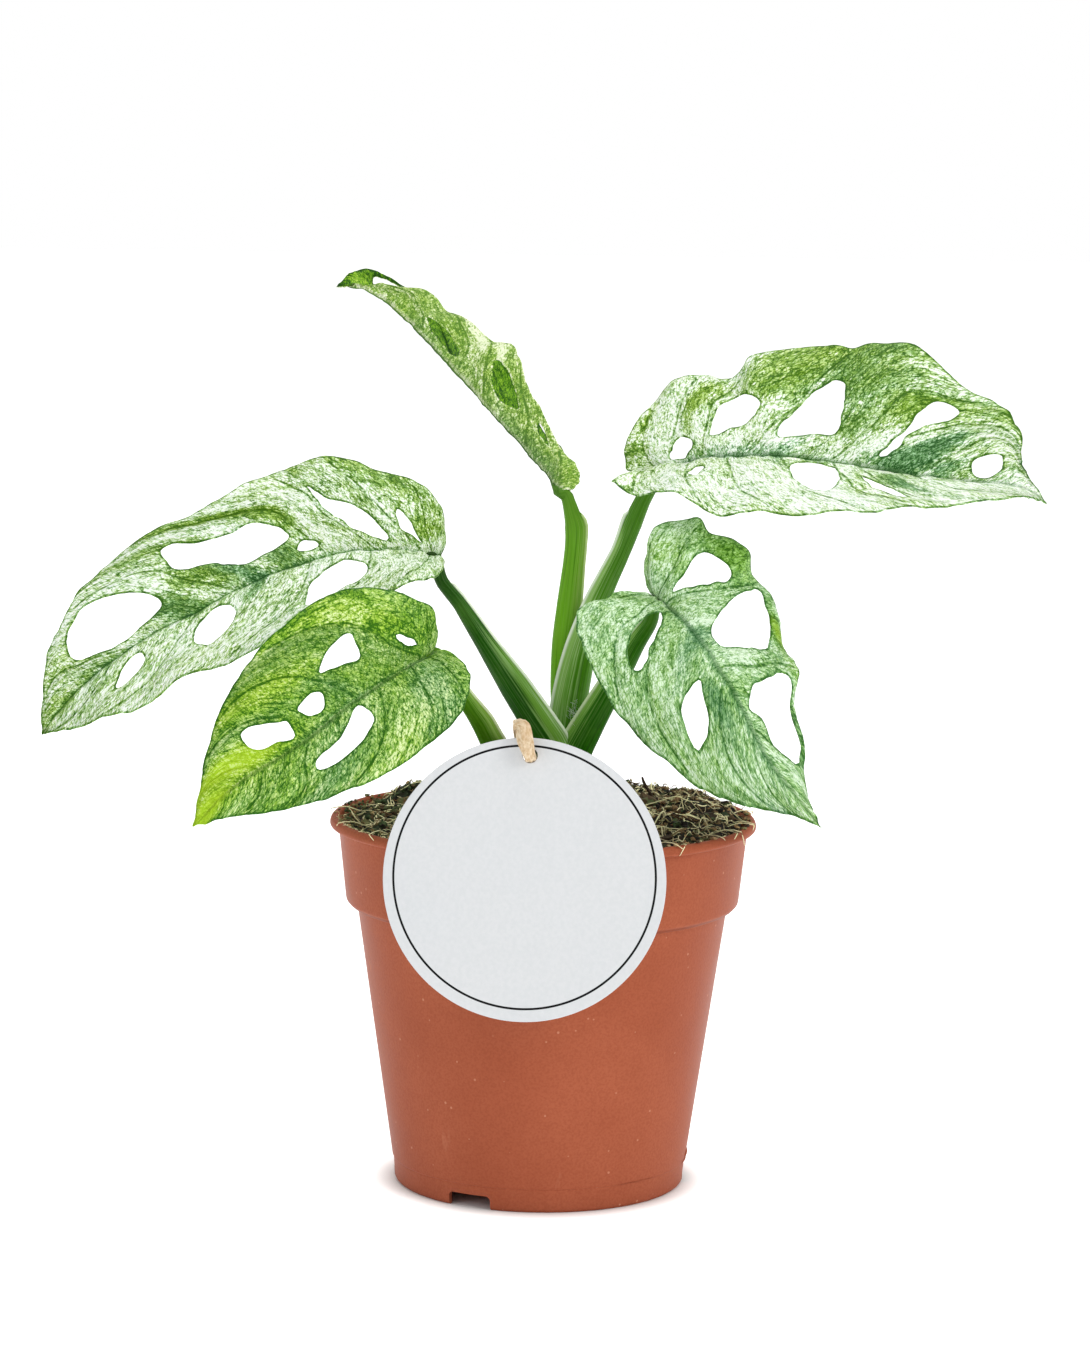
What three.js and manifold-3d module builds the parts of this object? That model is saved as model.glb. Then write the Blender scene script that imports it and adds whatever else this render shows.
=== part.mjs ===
// A young swiss cheese vine, Monstera adansonii, in its 12 cm nursery pot, with a round hang tag.
// Millimetres, +Z up. The origin is on the ground at the pot's axis, and the tag hangs on the -Y side.
import * as THREE from "three";
import * as BufferGeometryUtils from "three/addons/utils/BufferGeometryUtils.js";
import Module from "manifold-3d";

const wasm = await Module();
wasm.setup();

// Gap kept between neighbouring pieces.
const GAP = 0.3;

// Pot: thin moulded plastic, a 12 cm lip on a straight collar, which steps in to a tapered wall.
const POT_HEIGHT = 104;
const LIP_RADIUS = 60;
const LIP_HEIGHT = 2.8;
const COLLAR_TOP_RADIUS = 57.5;
const COLLAR_FOOT_RADIUS = 55.5;
const COLLAR_FOOT_Z = 82.4;
const STEP_RADIUS = 52.1;
const STEP_Z = 79;
const FOOT_RADIUS = 41;
const FOOT_LINE_Z = 6.9;
const POT_WALL = 1.3;
const FLOOR_Z = 4.4;
const POT_SEGMENTS = 56;
const NOTCH = { width: 13, height: 3.9, corner: 1.4, count: 3, angle: -118 };
const DRAIN = { radius: 4, ring: 25, count: 6 };

// Soil: its top slopes up to the right and back, and is covered in lumps.
const SOIL = { level: 103.2, slopeX: 0.032, slopeY: 0.04, shoulder: 5, drop: 1.6, lumps: 90, seed: 11 };
const LUMP = { least: 0.5, more: 1.7, reach: 2.5, wider: 3, ring: 52 };
const SOIL_RINGS = 13;
const SOIL_SECTORS = 44;

// Main stem: short, in a plain hole in the soil, hidden by the sheaths.
const STEM = { x: 5, y: 1, radius: 5.6, foot: 93, top: 121 };
const STEM_SIDES = 16;

// Leaf blades.
const BLADE_THICKNESS = 0.8;
const KEEL_DEPTH = 0.9;
const KEEL_WIDTH = 2.4;
const VEIN_SWEEP = 0.06;
const RIPPLE_WIDTH = 15;
const RIPPLE_SHIFT = 1.3;
const INNER_SPACING = 5.2;
const RIM_CLEARANCE = 3.2;
const MARGIN_SPACING = 3.2;
const MIDRIB_SPACING = 4.2;
const HOLE_SPACING = 3;
const TIP_TRIM = 0.3;

// Petioles and tag.
const PETIOLE_SIDES = 10;
const PETIOLE_FLATNESS = 0.82;
const PETIOLE_STEP = 6.5;
const TAG = {
  diameter: 76,
  thickness: 0.8,
  holeRadius: 2,
  holeDrop: 4.7,
  lean: 7,
  yaw: -5,
  turn: -1.4,
  x: 0.5,
  z: 96.9,
};
const TIE_SIDES = 8;
const TIE_STEP = 3.2;

const radians = THREE.MathUtils.degToRad;

// Repeatable random numbers from 0 to 1.
function randomFrom(seed) {
  let state = seed;
  return () => {
    state = (state * 1664525 + 1013904223) % 4294967296;
    return state / 4294967296;
  };
}

function indexed(points, faces) {
  const geometry = new THREE.BufferGeometry();
  const coordinates = points.flatMap((point) => point.toArray());
  geometry.setAttribute("position", new THREE.Float32BufferAttribute(coordinates, 3));
  geometry.setIndex(faces.flat());
  return geometry;
}

function solidOf(geometry) {
  const bare = geometry.clone();
  bare.deleteAttribute("normal");
  bare.deleteAttribute("uv");
  const merged = BufferGeometryUtils.mergeVertices(bare, 1e-3);
  const vertProperties = new Float32Array(merged.attributes.position.array);
  const triVerts = new Uint32Array(merged.index.array);
  return new wasm.Manifold(new wasm.Mesh({ numProp: 3, vertProperties, triVerts }));
}

function geometryOf(solid) {
  const mesh = solid.getMesh();
  const geometry = new THREE.BufferGeometry();
  geometry.setAttribute("position", new THREE.BufferAttribute(mesh.vertProperties, 3));
  geometry.setIndex(new THREE.BufferAttribute(mesh.triVerts, 1));
  return geometry;
}

// What is left of a piece after a cut can hold loose scraps: the biggest body is the piece.
function biggestBody(solid) {
  return solid.decompose().reduce((a, b) => (b.volume() > a.volume() ? b : a));
}

function piece(name, geometry, colour, roughness) {
  const material = new THREE.MeshStandardMaterial({ color: colour, roughness, metalness: 0 });
  const mesh = new THREE.Mesh(geometry, material);
  mesh.name = name;
  return mesh;
}

function turned(outline, segments) {
  const points = outline.map(([radius, z]) => new THREE.Vector2(radius, z));
  return new THREE.LatheGeometry(points, segments).rotateX(Math.PI / 2);
}

// Rings of equally many points joined into one closed body, with a flat fan at each end.
function lofted(rings) {
  const sides = rings[0].length;
  const points = rings.flat();
  const faces = [];
  for (let i = 0; i + 1 < rings.length; i++) {
    for (let j = 0; j < sides; j++) {
      const a = i * sides + j;
      const b = i * sides + ((j + 1) % sides);
      faces.push([a, b, b + sides], [a, b + sides, a + sides]);
    }
  }
  const last = (rings.length - 1) * sides;
  for (let j = 1; j + 1 < sides; j++) {
    faces.push([0, j + 1, j], [last, last + j, last + j + 1]);
  }
  return indexed(points, faces);
}

// POT

// The wall's outside and inside, from the floor's underside round the foot, up, over the lip and down.
function potOutline() {
  const lipFoot = POT_HEIGHT - LIP_HEIGHT;
  const floorTop = FLOOR_Z + POT_WALL;
  const innerFoot = FOOT_RADIUS - POT_WALL;
  return [
    [0, FLOOR_Z],
    [innerFoot - 0.6, FLOOR_Z],
    [innerFoot - 0.2, FLOOR_Z - 0.6],
    [innerFoot - 0.5, 0.3],
    [innerFoot, 0],
    [FOOT_RADIUS - 0.6, 0],
    [FOOT_RADIUS, 0.8],
    [FOOT_RADIUS + 0.3, FOOT_LINE_Z - 0.3],
    [FOOT_RADIUS + 0.7, FOOT_LINE_Z],
    [STEP_RADIUS, STEP_Z - 0.3],
    [STEP_RADIUS + 0.5, STEP_Z],
    [COLLAR_FOOT_RADIUS - 1.2, STEP_Z + 0.6],
    [COLLAR_FOOT_RADIUS - 0.2, STEP_Z + 1.6],
    [COLLAR_FOOT_RADIUS, COLLAR_FOOT_Z],
    [COLLAR_TOP_RADIUS, lipFoot - 0.2],
    [LIP_RADIUS - 0.9, lipFoot],
    [LIP_RADIUS - 0.1, lipFoot + 0.6],
    [LIP_RADIUS, lipFoot + 1.4],
    [LIP_RADIUS - 0.3, POT_HEIGHT - 0.5],
    [LIP_RADIUS - 1, POT_HEIGHT],
    [LIP_RADIUS - 1.8, POT_HEIGHT],
    [LIP_RADIUS - 2.3, POT_HEIGHT - 0.4],
    [COLLAR_TOP_RADIUS - POT_WALL, lipFoot - 1],
    [COLLAR_FOOT_RADIUS - POT_WALL, COLLAR_FOOT_Z - 0.4],
    [COLLAR_FOOT_RADIUS - POT_WALL - 0.6, STEP_Z + 2],
    [STEP_RADIUS - POT_WALL + 0.4, STEP_Z + 1.4],
    [STEP_RADIUS - POT_WALL, STEP_Z],
    [FOOT_RADIUS - 0.4, floorTop + 1.6],
    [innerFoot - 0.1, floorTop],
    [0, floorTop],
  ];
}

// A notch in the foot ring: a slot with round upper corners, cut from the middle outwards.
function notchCutter(angle) {
  const half = NOTCH.width / 2;
  const outline = new THREE.Shape();
  outline.moveTo(-half, -1);
  outline.lineTo(half, -1);
  outline.lineTo(half, NOTCH.height - NOTCH.corner);
  outline.absarc(half - NOTCH.corner, NOTCH.height - NOTCH.corner, NOTCH.corner, 0, Math.PI / 2);
  outline.absarc(NOTCH.corner - half, NOTCH.height - NOTCH.corner, NOTCH.corner, Math.PI / 2, Math.PI);
  outline.lineTo(-half, -1);
  const cutter = new THREE.ExtrudeGeometry(outline, { depth: 12, bevelEnabled: false, curveSegments: 4 });
  return cutter
    .rotateX(Math.PI / 2)
    .translate(0, -(FOOT_RADIUS - 6), 0)
    .rotateZ(radians(angle + 90));
}

function potGeometry() {
  let pot = solidOf(turned(potOutline(), POT_SEGMENTS));
  for (let i = 0; i < NOTCH.count; i++) {
    pot = pot.subtract(solidOf(notchCutter(NOTCH.angle + (i * 360) / NOTCH.count)));
  }
  for (let i = 0; i < DRAIN.count; i++) {
    const angle = ((i + 0.5) * 2 * Math.PI) / DRAIN.count;
    const cutter = new THREE.CylinderGeometry(DRAIN.radius, DRAIN.radius, 6, 12).rotateX(Math.PI / 2);
    cutter.translate(DRAIN.ring * Math.cos(angle), DRAIN.ring * Math.sin(angle), FLOOR_Z);
    pot = pot.subtract(solidOf(cutter));
  }
  return geometryOf(pot);
}

// SOIL

// Lumps of peat and bark: round bumps of seeded size and place.
function soilLumps() {
  const random = randomFrom(SOIL.seed);
  return Array.from({ length: SOIL.lumps }, () => {
    const angle = random() * 2 * Math.PI;
    const away = Math.sqrt(random()) * LUMP.ring;
    const height = LUMP.least + LUMP.more * random() ** 2;
    const reach = LUMP.reach + LUMP.wider * random();
    return { x: away * Math.cos(angle), y: away * Math.sin(angle), height, reach };
  });
}

function soilHeight(x, y, lumps, edgeRadius) {
  const inward = edgeRadius - Math.hypot(x, y);
  const fall = SOIL.drop * Math.max(0, 1 - inward / SOIL.shoulder) ** 2;
  let z = SOIL.level + SOIL.slopeX * x + SOIL.slopeY * y - fall;
  for (const lump of lumps) {
    const away = ((x - lump.x) ** 2 + (y - lump.y) ** 2) / lump.reach ** 2;
    z += lump.height * Math.exp(-away) * Math.min(1, Math.max(0, inward / 4));
  }
  return z;
}

function soilGeometry() {
  const side = [
    [FOOT_RADIUS - POT_WALL - 0.9, FLOOR_Z + POT_WALL + GAP],
    [FOOT_RADIUS - 0.8, FLOOR_Z + POT_WALL + 2],
    [STEP_RADIUS - POT_WALL - 0.35, STEP_Z],
    [STEP_RADIUS - POT_WALL, STEP_Z + 1.9],
    [COLLAR_FOOT_RADIUS - POT_WALL - 0.9, STEP_Z + 2.4],
    [COLLAR_FOOT_RADIUS - POT_WALL - 0.4, COLLAR_FOOT_Z],
    [COLLAR_TOP_RADIUS - POT_WALL - 0.8, POT_HEIGHT - LIP_HEIGHT - 6],
  ];
  const edgeRadius = COLLAR_TOP_RADIUS - POT_WALL - 0.5;
  const lumps = soilLumps();
  const ring = (radius, height) =>
    Array.from({ length: SOIL_SECTORS }, (_, j) => {
      const angle = (j * 2 * Math.PI) / SOIL_SECTORS;
      const x = radius * Math.cos(angle);
      const y = radius * Math.sin(angle);
      return new THREE.Vector3(x, y, height(x, y));
    });
  const rings = side.map(([radius, z]) => ring(radius, () => z));
  for (let i = 0; i < SOIL_RINGS; i++) {
    const radius = (edgeRadius * (SOIL_RINGS - i)) / SOIL_RINGS;
    rings.push(ring(radius, (x, y) => soilHeight(x, y, lumps, edgeRadius)));
  }
  const hole = new THREE.CylinderGeometry(STEM.radius + GAP, STEM.radius + GAP, 40, 2 * STEM_SIDES);
  hole.rotateX(Math.PI / 2).translate(STEM.x, STEM.y, STEM.foot - GAP + 20);
  return geometryOf(solidOf(lofted(rings)).subtract(solidOf(hole)));
}

// MAIN STEM

// Leaf scars ring it, and its top is a blunt dome under the sheaths.
function stemOutline(grow) {
  const scarZ = (STEM.foot + STEM.top) / 2;
  return [
    [0, STEM.foot - grow],
    [STEM.radius - 0.5 + grow, STEM.foot - grow],
    [STEM.radius - 0.3 + grow, scarZ - 1.2],
    [STEM.radius + grow, scarZ],
    [STEM.radius - 0.4 + grow, scarZ + 1],
    [STEM.radius - 0.6 + grow, STEM.top - 3.5],
    [STEM.radius - 2.6 + grow, STEM.top - 1 + grow],
    [0, STEM.top + grow],
  ];
}

function stemSolid(grow) {
  return solidOf(turned(stemOutline(grow), STEM_SIDES).translate(STEM.x, STEM.y, 0));
}

// LEAVES
//
// Each row across a blade is [left margin, midrib, right margin] as seen from the base along the upper
// face, from the petiole to the tip. A hole is a closed curve through points [across, row]: across is 0
// on the midrib, -1 on the left margin and 1 on the right one, and row counts the rows from the base.
// bow is how far each half arches up, as a share of its width. wave is how high the left and the right
// margin ripple, and the rows in one ripple.
// A petiole's points are [x, y, z, width], from the blade down to the crown.

const LEAVES = {
  far_left: {
    bow: [0.08, 0.08],
    wave: [0.8, 0.8, 1.9],
    colour: 0xb9cfa6,
    rows: [
      [[-28.5, -4, 176], [-29.5, -2, 177.5], [-28.5, 0, 180]],
      [[-29, -11, 174.5], [-33, -3, 178], [-29.5, 5, 190]],
      [[-32.5, -20, 172.5], [-40, -4, 179], [-36, 10, 196]],
      [[-40, -27, 171.5], [-48, -5, 179], [-48.5, 13, 200.5]],
      [[-50.5, -32, 167.5], [-56, -6, 178.5], [-62, 14, 203]],
      [[-61.5, -36, 162.5], [-65.5, -8, 176], [-74, 13, 200]],
      [[-73, -38, 156.5], [-75.5, -10, 172.5], [-87.5, 11, 193.5]],
      [[-85, -40, 152.5], [-87, -13, 167.5], [-100, 7, 187.5]],
      [[-96.5, -40, 147.5], [-98.5, -16, 161], [-115, 2, 179.5]],
      [[-108.5, -39, 140], [-110.5, -19, 155], [-127, -4, 169.5]],
      [[-119.5, -36, 135], [-121, -22, 147.5], [-134, -12, 158.5]],
      [[-129.5, -32, 132], [-129.5, -25, 140], [-137.5, -19, 149]],
      [[-137.5, -30, 130], [-137.5, -30, 130], [-137.5, -30, 130]],
    ],
    holes: [
      [[0.52, 2.5], [0.29, 1.8], [0.15, 1.4], [0.21, 1.9], [0.33, 2.4]],
      [[0.73, 4.7], [0.55, 4.3], [0.46, 3.6], [0.35, 3.1], [0.13, 2.6], [0.15, 3.1], [0.27, 3.9],
        [0.51, 4.5]],
      [[0.22, 5.1], [0.12, 4.7], [0.11, 5.1], [0.15, 5.3]],
      [[0.54, 5.9], [0.29, 5.4], [0.22, 6], [0.21, 6.6], [0.35, 7.1], [0.52, 7.8], [0.74, 7.8], [0.6, 6.9]],
      [[0.7, 9], [0.29, 8.3], [0.12, 9.1], [0.22, 10], [0.48, 10.5], [0.7, 10.4], [0.84, 9.7]],
      [[-0.24, 3.9], [-0.46, 3.6], [-0.66, 4], [-0.72, 4.9], [-0.68, 5.3], [-0.44, 5.2], [-0.24, 4.5]],
      [[-0.19, 7.1], [-0.39, 6.9], [-0.58, 7.1], [-0.68, 7.6], [-0.5, 7.9], [-0.3, 7.8], [-0.14, 7.5]],
      [[-0.18, 9.2], [-0.36, 9], [-0.52, 9.3], [-0.56, 9.7], [-0.31, 9.6]],
    ],
    petiole: [
      [-29.5, -0.5, 176.5, 3],
      [-27.5, -0.5, 170.5, 3],
      [-25, -1, 167, 3.9],
      [-22, -1.5, 163.5, 4.1],
      [-15.5, -2.5, 153, 5],
      [-8, -4, 141.5, 6.4],
      [-1, -5, 130.5, 9.4],
      [2.5, -4.5, 124, 10.4],
      [3.8, -2.5, 116, 12.4],
      [4.6, -0.5, 107.5, 13],
    ],
  },
  low_left: {
    bow: [0.08, 0.1],
    wave: [0.5, 0.5, 2.3],
    colour: 0x8fb85c,
    rows: [
      [[-27, -44, 156], [-30, -44, 156], [-29.5, -43, 159]],
      [[-23, -46, 154], [-31.5, -45, 155], [-29.5, -42, 163]],
      [[-20.5, -48, 150.5], [-34, -46, 153.5], [-30.5, -41, 167]],
      [[-20.5, -50, 145], [-38, -47, 151.5], [-35, -41, 169.5]],
      [[-24.5, -53, 138], [-43, -48, 148.5], [-42.5, -41, 172]],
      [[-32, -56, 131.5], [-49, -50, 144.5], [-52.5, -42, 172.5]],
      [[-41, -58, 125.5], [-55.5, -51, 140], [-61.5, -43, 169]],
      [[-52, -60, 120.5], [-62.5, -53, 134], [-70.5, -45, 162.5]],
      [[-63.5, -61, 116.5], [-70, -55, 129], [-78.5, -48, 154]],
      [[-75, -60, 114], [-77.5, -56, 124.5], [-85, -50, 144]],
      [[-85, -60, 112.5], [-85, -58, 119], [-90, -55, 130]],
      [[-93.5, -60, 110], [-93.5, -60, 110], [-93.5, -60, 110]],
    ],
    holes: [
      [[0.47, 3.7], [0.42, 3], [0.31, 2.5], [0.33, 3.2]],
      [[0.56, 5.2], [0.35, 5], [0.34, 5.5], [0.42, 6.4], [0.54, 6.1]],
      [[0.31, 6.8], [0.21, 6.4], [0.13, 6.4], [0.16, 7], [0.27, 7.3]],
      [[0.5, 9.1], [0.33, 8.1], [0.21, 7.6], [0.08, 7.5], [0.12, 8], [0.24, 8.9]],
      [[-0.11, 5.3], [-0.27, 5.3], [-0.44, 5.8], [-0.56, 6.6], [-0.54, 7.4], [-0.43, 7.4], [-0.29, 6.5]],
    ],
    petiole: [
      [-29, -42.5, 155, 3],
      [-26, -39, 149, 3.8],
      [-21.5, -33, 141.5, 4.4],
      [-17.5, -24, 134.5, 5],
      [-14.5, -15, 127.5, 5.4],
      [-11.5, -8, 121.5, 5.8],
      [-3, -1.5, 111.5, 7],
    ],
  },
  top: {
    bow: [-0.3, -0.3],
    wave: [0.5, 0.5, 2.6],
    colour: 0xa6c977,
    rows: [
      [[7, 7, 195.5], [4.5, 7, 195], [6.5, 9, 195]],
      [[9, 9, 198], [2.5, 11, 197], [7.5, 17, 198]],
      [[8, 11.5, 202], [0, 14.5, 200], [6.5, 24.5, 201]],
      [[4.5, 15.5, 205], [-4, 18.5, 203.5], [4, 30.5, 204.5]],
      [[1, 19.5, 210.5], [-8.5, 22.5, 208.5], [-0.5, 36.5, 209]],
      [[-2, 23.5, 216.5], [-13.5, 26.5, 213.5], [-4.5, 41.5, 214.5]],
      [[-6, 27, 222.5], [-18.5, 30, 218.5], [-7, 45, 219]],
      [[-8, 31, 229.5], [-23.5, 34, 223.5], [-11.5, 49, 226]],
      [[-11, 35, 234.5], [-28.5, 38, 228.5], [-16, 53, 231]],
      [[-17, 38.5, 235.5], [-33.5, 41.5, 233.5], [-21.5, 55.5, 234.5]],
      [[-23.5, 42.5, 241], [-38.5, 45.5, 238], [-27.5, 58.5, 238.5]],
      [[-29.5, 46.5, 243], [-43, 49.5, 242], [-34, 61.5, 243.5]],
      [[-35.5, 50.5, 248.5], [-47.5, 53.5, 245.5], [-43, 63.5, 250]],
      [[-48, 55, 250], [-53, 57, 248.5], [-50.5, 65, 253]],
      [[-55.5, 60, 249.5], [-58, 61, 249.5], [-57, 65, 254]],
      [[-62.5, 63, 249], [-62.5, 63, 249], [-62.5, 63, 249]],
    ],
    holes: [
      [[-0.4, 10.4], [-0.44, 9.4], [-0.35, 8.7], [-0.17, 8.1], [-0.14, 8.8], [-0.22, 9.9]],
      [[-0.66, 7.4], [-0.76, 6.8], [-0.76, 6.1], [-0.54, 5.2], [-0.4, 5.6], [-0.45, 6.5]],
      [[-0.8, 4.5], [-0.86, 4], [-0.7, 3.4], [-0.62, 3.9]],
      [[0.72, 12.9], [0.76, 12], [0.58, 12], [0.5, 12.8]],
    ],
    petiole: [
      [5, 7.5, 194.5, 3.6],
      [6, 8, 192, 3.7],
      [7, 8, 188.5, 4.6],
      [8, 8, 185, 6.1],
      [8, 8, 180, 5.8],
      [7.5, 8, 174, 5.9],
      [6.5, 8, 163.5, 6.8],
      [5, 7.5, 152, 7.2],
      [4, 6.5, 140.5, 7.4],
      [4.5, 5.5, 129, 7.4],
      [5, 4.5, 119, 8.6],
      [5, 3.5, 109, 11],
    ],
  },
  right: {
    bow: [0.06, 0.08],
    wave: [1.1, 0.4, 2.3],
    colour: 0xc7d8b4,
    rows: [
      [[25, 8, 199.5], [30.5, 6, 201], [24, 4, 199]],
      [[22.5, 10.5, 201], [33.5, 5.5, 202], [21, -0.5, 198.5]],
      [[21.5, 13.5, 206], [36, 4.5, 203], [18, -5.5, 199]],
      [[24, 17, 211.5], [39.5, 4, 204], [23.5, -10, 196]],
      [[29.5, 20, 220.5], [44, 3, 205], [31, -17, 197.5]],
      [[35.5, 22.5, 225], [48, 2.5, 205.5], [38, -23.5, 196]],
      [[43.5, 23, 227.5], [53, 2, 206], [47, -27, 192]],
      [[52, 23, 226.5], [58.5, 1, 206], [56.5, -29, 193.5]],
      [[59.5, 23.5, 233.5], [64.5, 0.5, 206], [66.5, -30.5, 193]],
      [[75.5, 23, 236], [73, 0, 205.5], [76, -31, 193.5]],
      [[84.5, 22, 235], [80.5, -1, 204.5], [85, -31, 194]],
      [[93, 20.5, 237.5], [88, -1.5, 203.5], [95, -29.5, 195]],
      [[104, 19, 235.5], [95.5, -2, 202], [104, -28, 195]],
      [[115.5, 16, 226.5], [103.5, -3, 201], [113, -25, 196]],
      [[126.5, 12.5, 220], [112, -3.5, 200], [122, -20.5, 196.5]],
      [[132, 6.5, 213], [121, -4.5, 199.5], [129.5, -16.5, 197.5]],
      [[132.5, 1, 204], [130, -5, 198.5], [133.5, -11, 196.5]],
      [[138.5, -6, 194.5], [138.5, -6, 194.5], [138.5, -6, 194.5]],
    ],
    holes: [
      [[-0.37, 4], [-0.27, 4.2], [-0.16, 3.7], [-0.1, 2.8], [-0.16, 2.4], [-0.35, 3.4]],
      [[-0.65, 7.5], [-0.5, 7.9], [-0.4, 7.2], [-0.3, 6.1], [-0.26, 5.2], [-0.42, 5.7], [-0.72, 6.9]],
      [[-0.69, 9.8], [-0.62, 10.2], [-0.31, 10.1], [-0.2, 9], [-0.19, 8.1], [-0.38, 8.6], [-0.58, 9.2]],
      [[-0.72, 12.8], [-0.75, 13.4], [-0.59, 13.1], [-0.37, 12.5], [-0.16, 12], [-0.1, 11.5],
        [-0.34, 12.2]],
      [[-0.42, 14.6], [-0.54, 15], [-0.38, 15.3], [-0.14, 15.1], [-0.12, 14.6], [-0.26, 14.3]],
      [[0.14, 8.5], [0.14, 9.8], [0.36, 9.9], [0.68, 9.3], [0.5, 8.5], [0.29, 8.3]],
      [[0.31, 10.6], [0.56, 11.2], [0.8, 11.6], [0.8, 11.2], [0.6, 10.7]],
      [[0.5, 4.4], [0.33, 4.5], [0.33, 4.9], [0.53, 4.9]],
    ],
    petiole: [
      [30, 6, 200, 4],
      [28.5, 6, 196.5, 4.5],
      [26.5, 5.5, 192.5, 4.6],
      [24, 5.5, 186.5, 5.4],
      [21, 5, 178.5, 5],
      [17, 4.5, 170, 5.9],
      [14, 4, 163, 7],
      [10.5, 3.5, 152.5, 8.4],
      [8.5, 3, 144, 9.4],
      [7, 2.5, 135, 10],
      [6.2, 2.4, 125.5, 10.4],
      [6, 2.6, 117, 12.6],
      [5.6, 2, 108, 14],
    ],
  },
  low_right: {
    bow: [0.16, 0.1],
    wave: [0.6, 0.6, 2.4],
    colour: 0x7fa873,
    rows: [
      [[29, -21, 171.5], [30, -22, 168.5], [27.5, -22, 168.5]],
      [[27, -19.5, 177.5], [30.5, -23.5, 168.5], [23, -24.5, 170]],
      [[27.5, -18, 182.5], [31, -25, 168.5], [18.5, -27, 170]],
      [[30.5, -16.5, 187.5], [31.5, -26.5, 168], [15, -29.5, 167.5]],
      [[37, -16, 190], [32.5, -28, 167.5], [11.5, -32, 167.5]],
      [[42, -15.5, 190], [33.5, -29.5, 166.5], [9, -34.5, 166.5]],
      [[44.5, -16, 186.5], [35, -31, 165.5], [8.5, -37, 162]],
      [[51.5, -16.5, 184.5], [37, -32.5, 164], [10, -38.5, 157.5]],
      [[56, -16, 180.5], [39, -34, 161.5], [12.5, -40, 152]],
      [[56.5, -15.5, 175], [41.5, -35.5, 158.5], [15.5, -41.5, 146.5]],
      [[60.5, -15, 170], [44, -37, 155.5], [19.5, -43, 140]],
      [[64.5, -16.5, 163], [46.5, -38.5, 151.5], [24.5, -43.5, 134.5]],
      [[66, -18, 154.5], [49.5, -40, 147.5], [31, -45, 128.5]],
      [[69.5, -21.5, 148], [53, -41.5, 141], [39, -45.5, 122]],
      [[68.5, -27, 139.5], [56.5, -43, 134], [47, -46, 117.5]],
      [[70.5, -34.5, 128.5], [61, -44.5, 126], [56.5, -46.5, 115]],
      [[71.5, -41, 117.5], [66.5, -46, 119.5], [65.5, -47, 113]],
      [[75, -50, 110.5], [75, -50, 110.5], [75, -50, 110.5]],
    ],
    holes: [
      [[-0.68, 6.2], [-0.7, 7], [-0.63, 8.3], [-0.44, 7.6], [-0.3, 6.6], [-0.18, 5.2], [-0.4, 5.9]],
      [[-0.86, 9.6], [-0.86, 10.5], [-0.66, 11.8], [-0.36, 11.2], [-0.14, 10.3], [-0.22, 9.2], [-0.5, 9.2]],
      [[-0.73, 12.8], [-0.86, 14], [-0.84, 15.2], [-0.68, 15.3], [-0.26, 14.6], [-0.22, 13.8],
        [-0.1, 13.2], [-0.26, 12.6]],
      [[0.14, 5.8], [0.18, 7], [0.38, 8.2], [0.61, 9.3], [0.68, 9], [0.57, 7.6], [0.3, 6.4]],
      [[0.21, 11], [0.26, 11.6], [0.48, 12.7], [0.66, 12.8], [0.63, 12.1], [0.4, 11.2]],
    ],
    petiole: [
      [30, -20.5, 168, 3.2],
      [29.5, -19, 164.5, 3.6],
      [28.5, -17, 161, 4.3],
      [25, -13.5, 155, 5.4],
      [21, -10, 147, 6.5],
      [16.5, -7, 138.5, 7.6],
      [11.5, -4.5, 129, 9],
      [8.5, -3, 122.5, 9.8],
      [7.2, -1, 115.5, 12],
      [6, 0, 108, 14],
    ],
  },
};

// Where points inside a blade are tried, and how the flat plan of its triangles bulges at its middle.
const TRIAL = { firstRow: 0.4, rowStep: 0.17, reach: 0.94, acrossStep: 0.05, sameSide: 0.6 };
const PLAN_BULGE = 0.03;
const EDGE_ROUNDS = 6;

// A smooth curve through one column of points, as a function of the row number.
function alongRows(points) {
  const vectors = points.map((point) => new THREE.Vector3(...point));
  const curve = new THREE.CatmullRomCurve3(vectors, false, "catmullrom", 0.5);
  return (row) => curve.getPoint(THREE.MathUtils.clamp(row / (points.length - 1), 0, 1));
}

// The blade's middle surface as a function of (across, row). A lateral vein runs out along each row,
// arched by bow and swept a little towards the base.
function bladeSurface(leaf) {
  const [left, midrib, right] = [0, 1, 2].map((k) => alongRows(leaf.rows.map((row) => row[k])));
  const [leftRipple, rightRipple, waveRows] = leaf.wave;
  return (across, row) => {
    const start = midrib(row);
    const tangent = midrib(row + 0.02).sub(midrib(row - 0.02)).normalize();
    const isLeft = across < 0;
    const chord = (isLeft ? left(row) : right(row)).sub(start);
    const width = chord.length();
    const up = new THREE.Vector3().crossVectors(isLeft ? tangent : chord, isLeft ? chord : tangent);
    up.normalize();
    const share = Math.abs(across);
    const arch = 2 * share * (1 - share) * width;
    const phase = (2 * Math.PI * row) / waveRows + (isLeft ? 0 : RIPPLE_SHIFT);
    const height = (isLeft ? leftRipple : rightRipple) * Math.min(1, width / RIPPLE_WIDTH);
    const ripple = height * share ** 2 * Math.sin(phase);
    return start
      .addScaledVector(chord, share)
      .addScaledVector(up, arch * leaf.bow[isLeft ? 0 : 1] + ripple)
      .addScaledVector(tangent, -arch * VEIN_SWEEP);
  };
}

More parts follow.
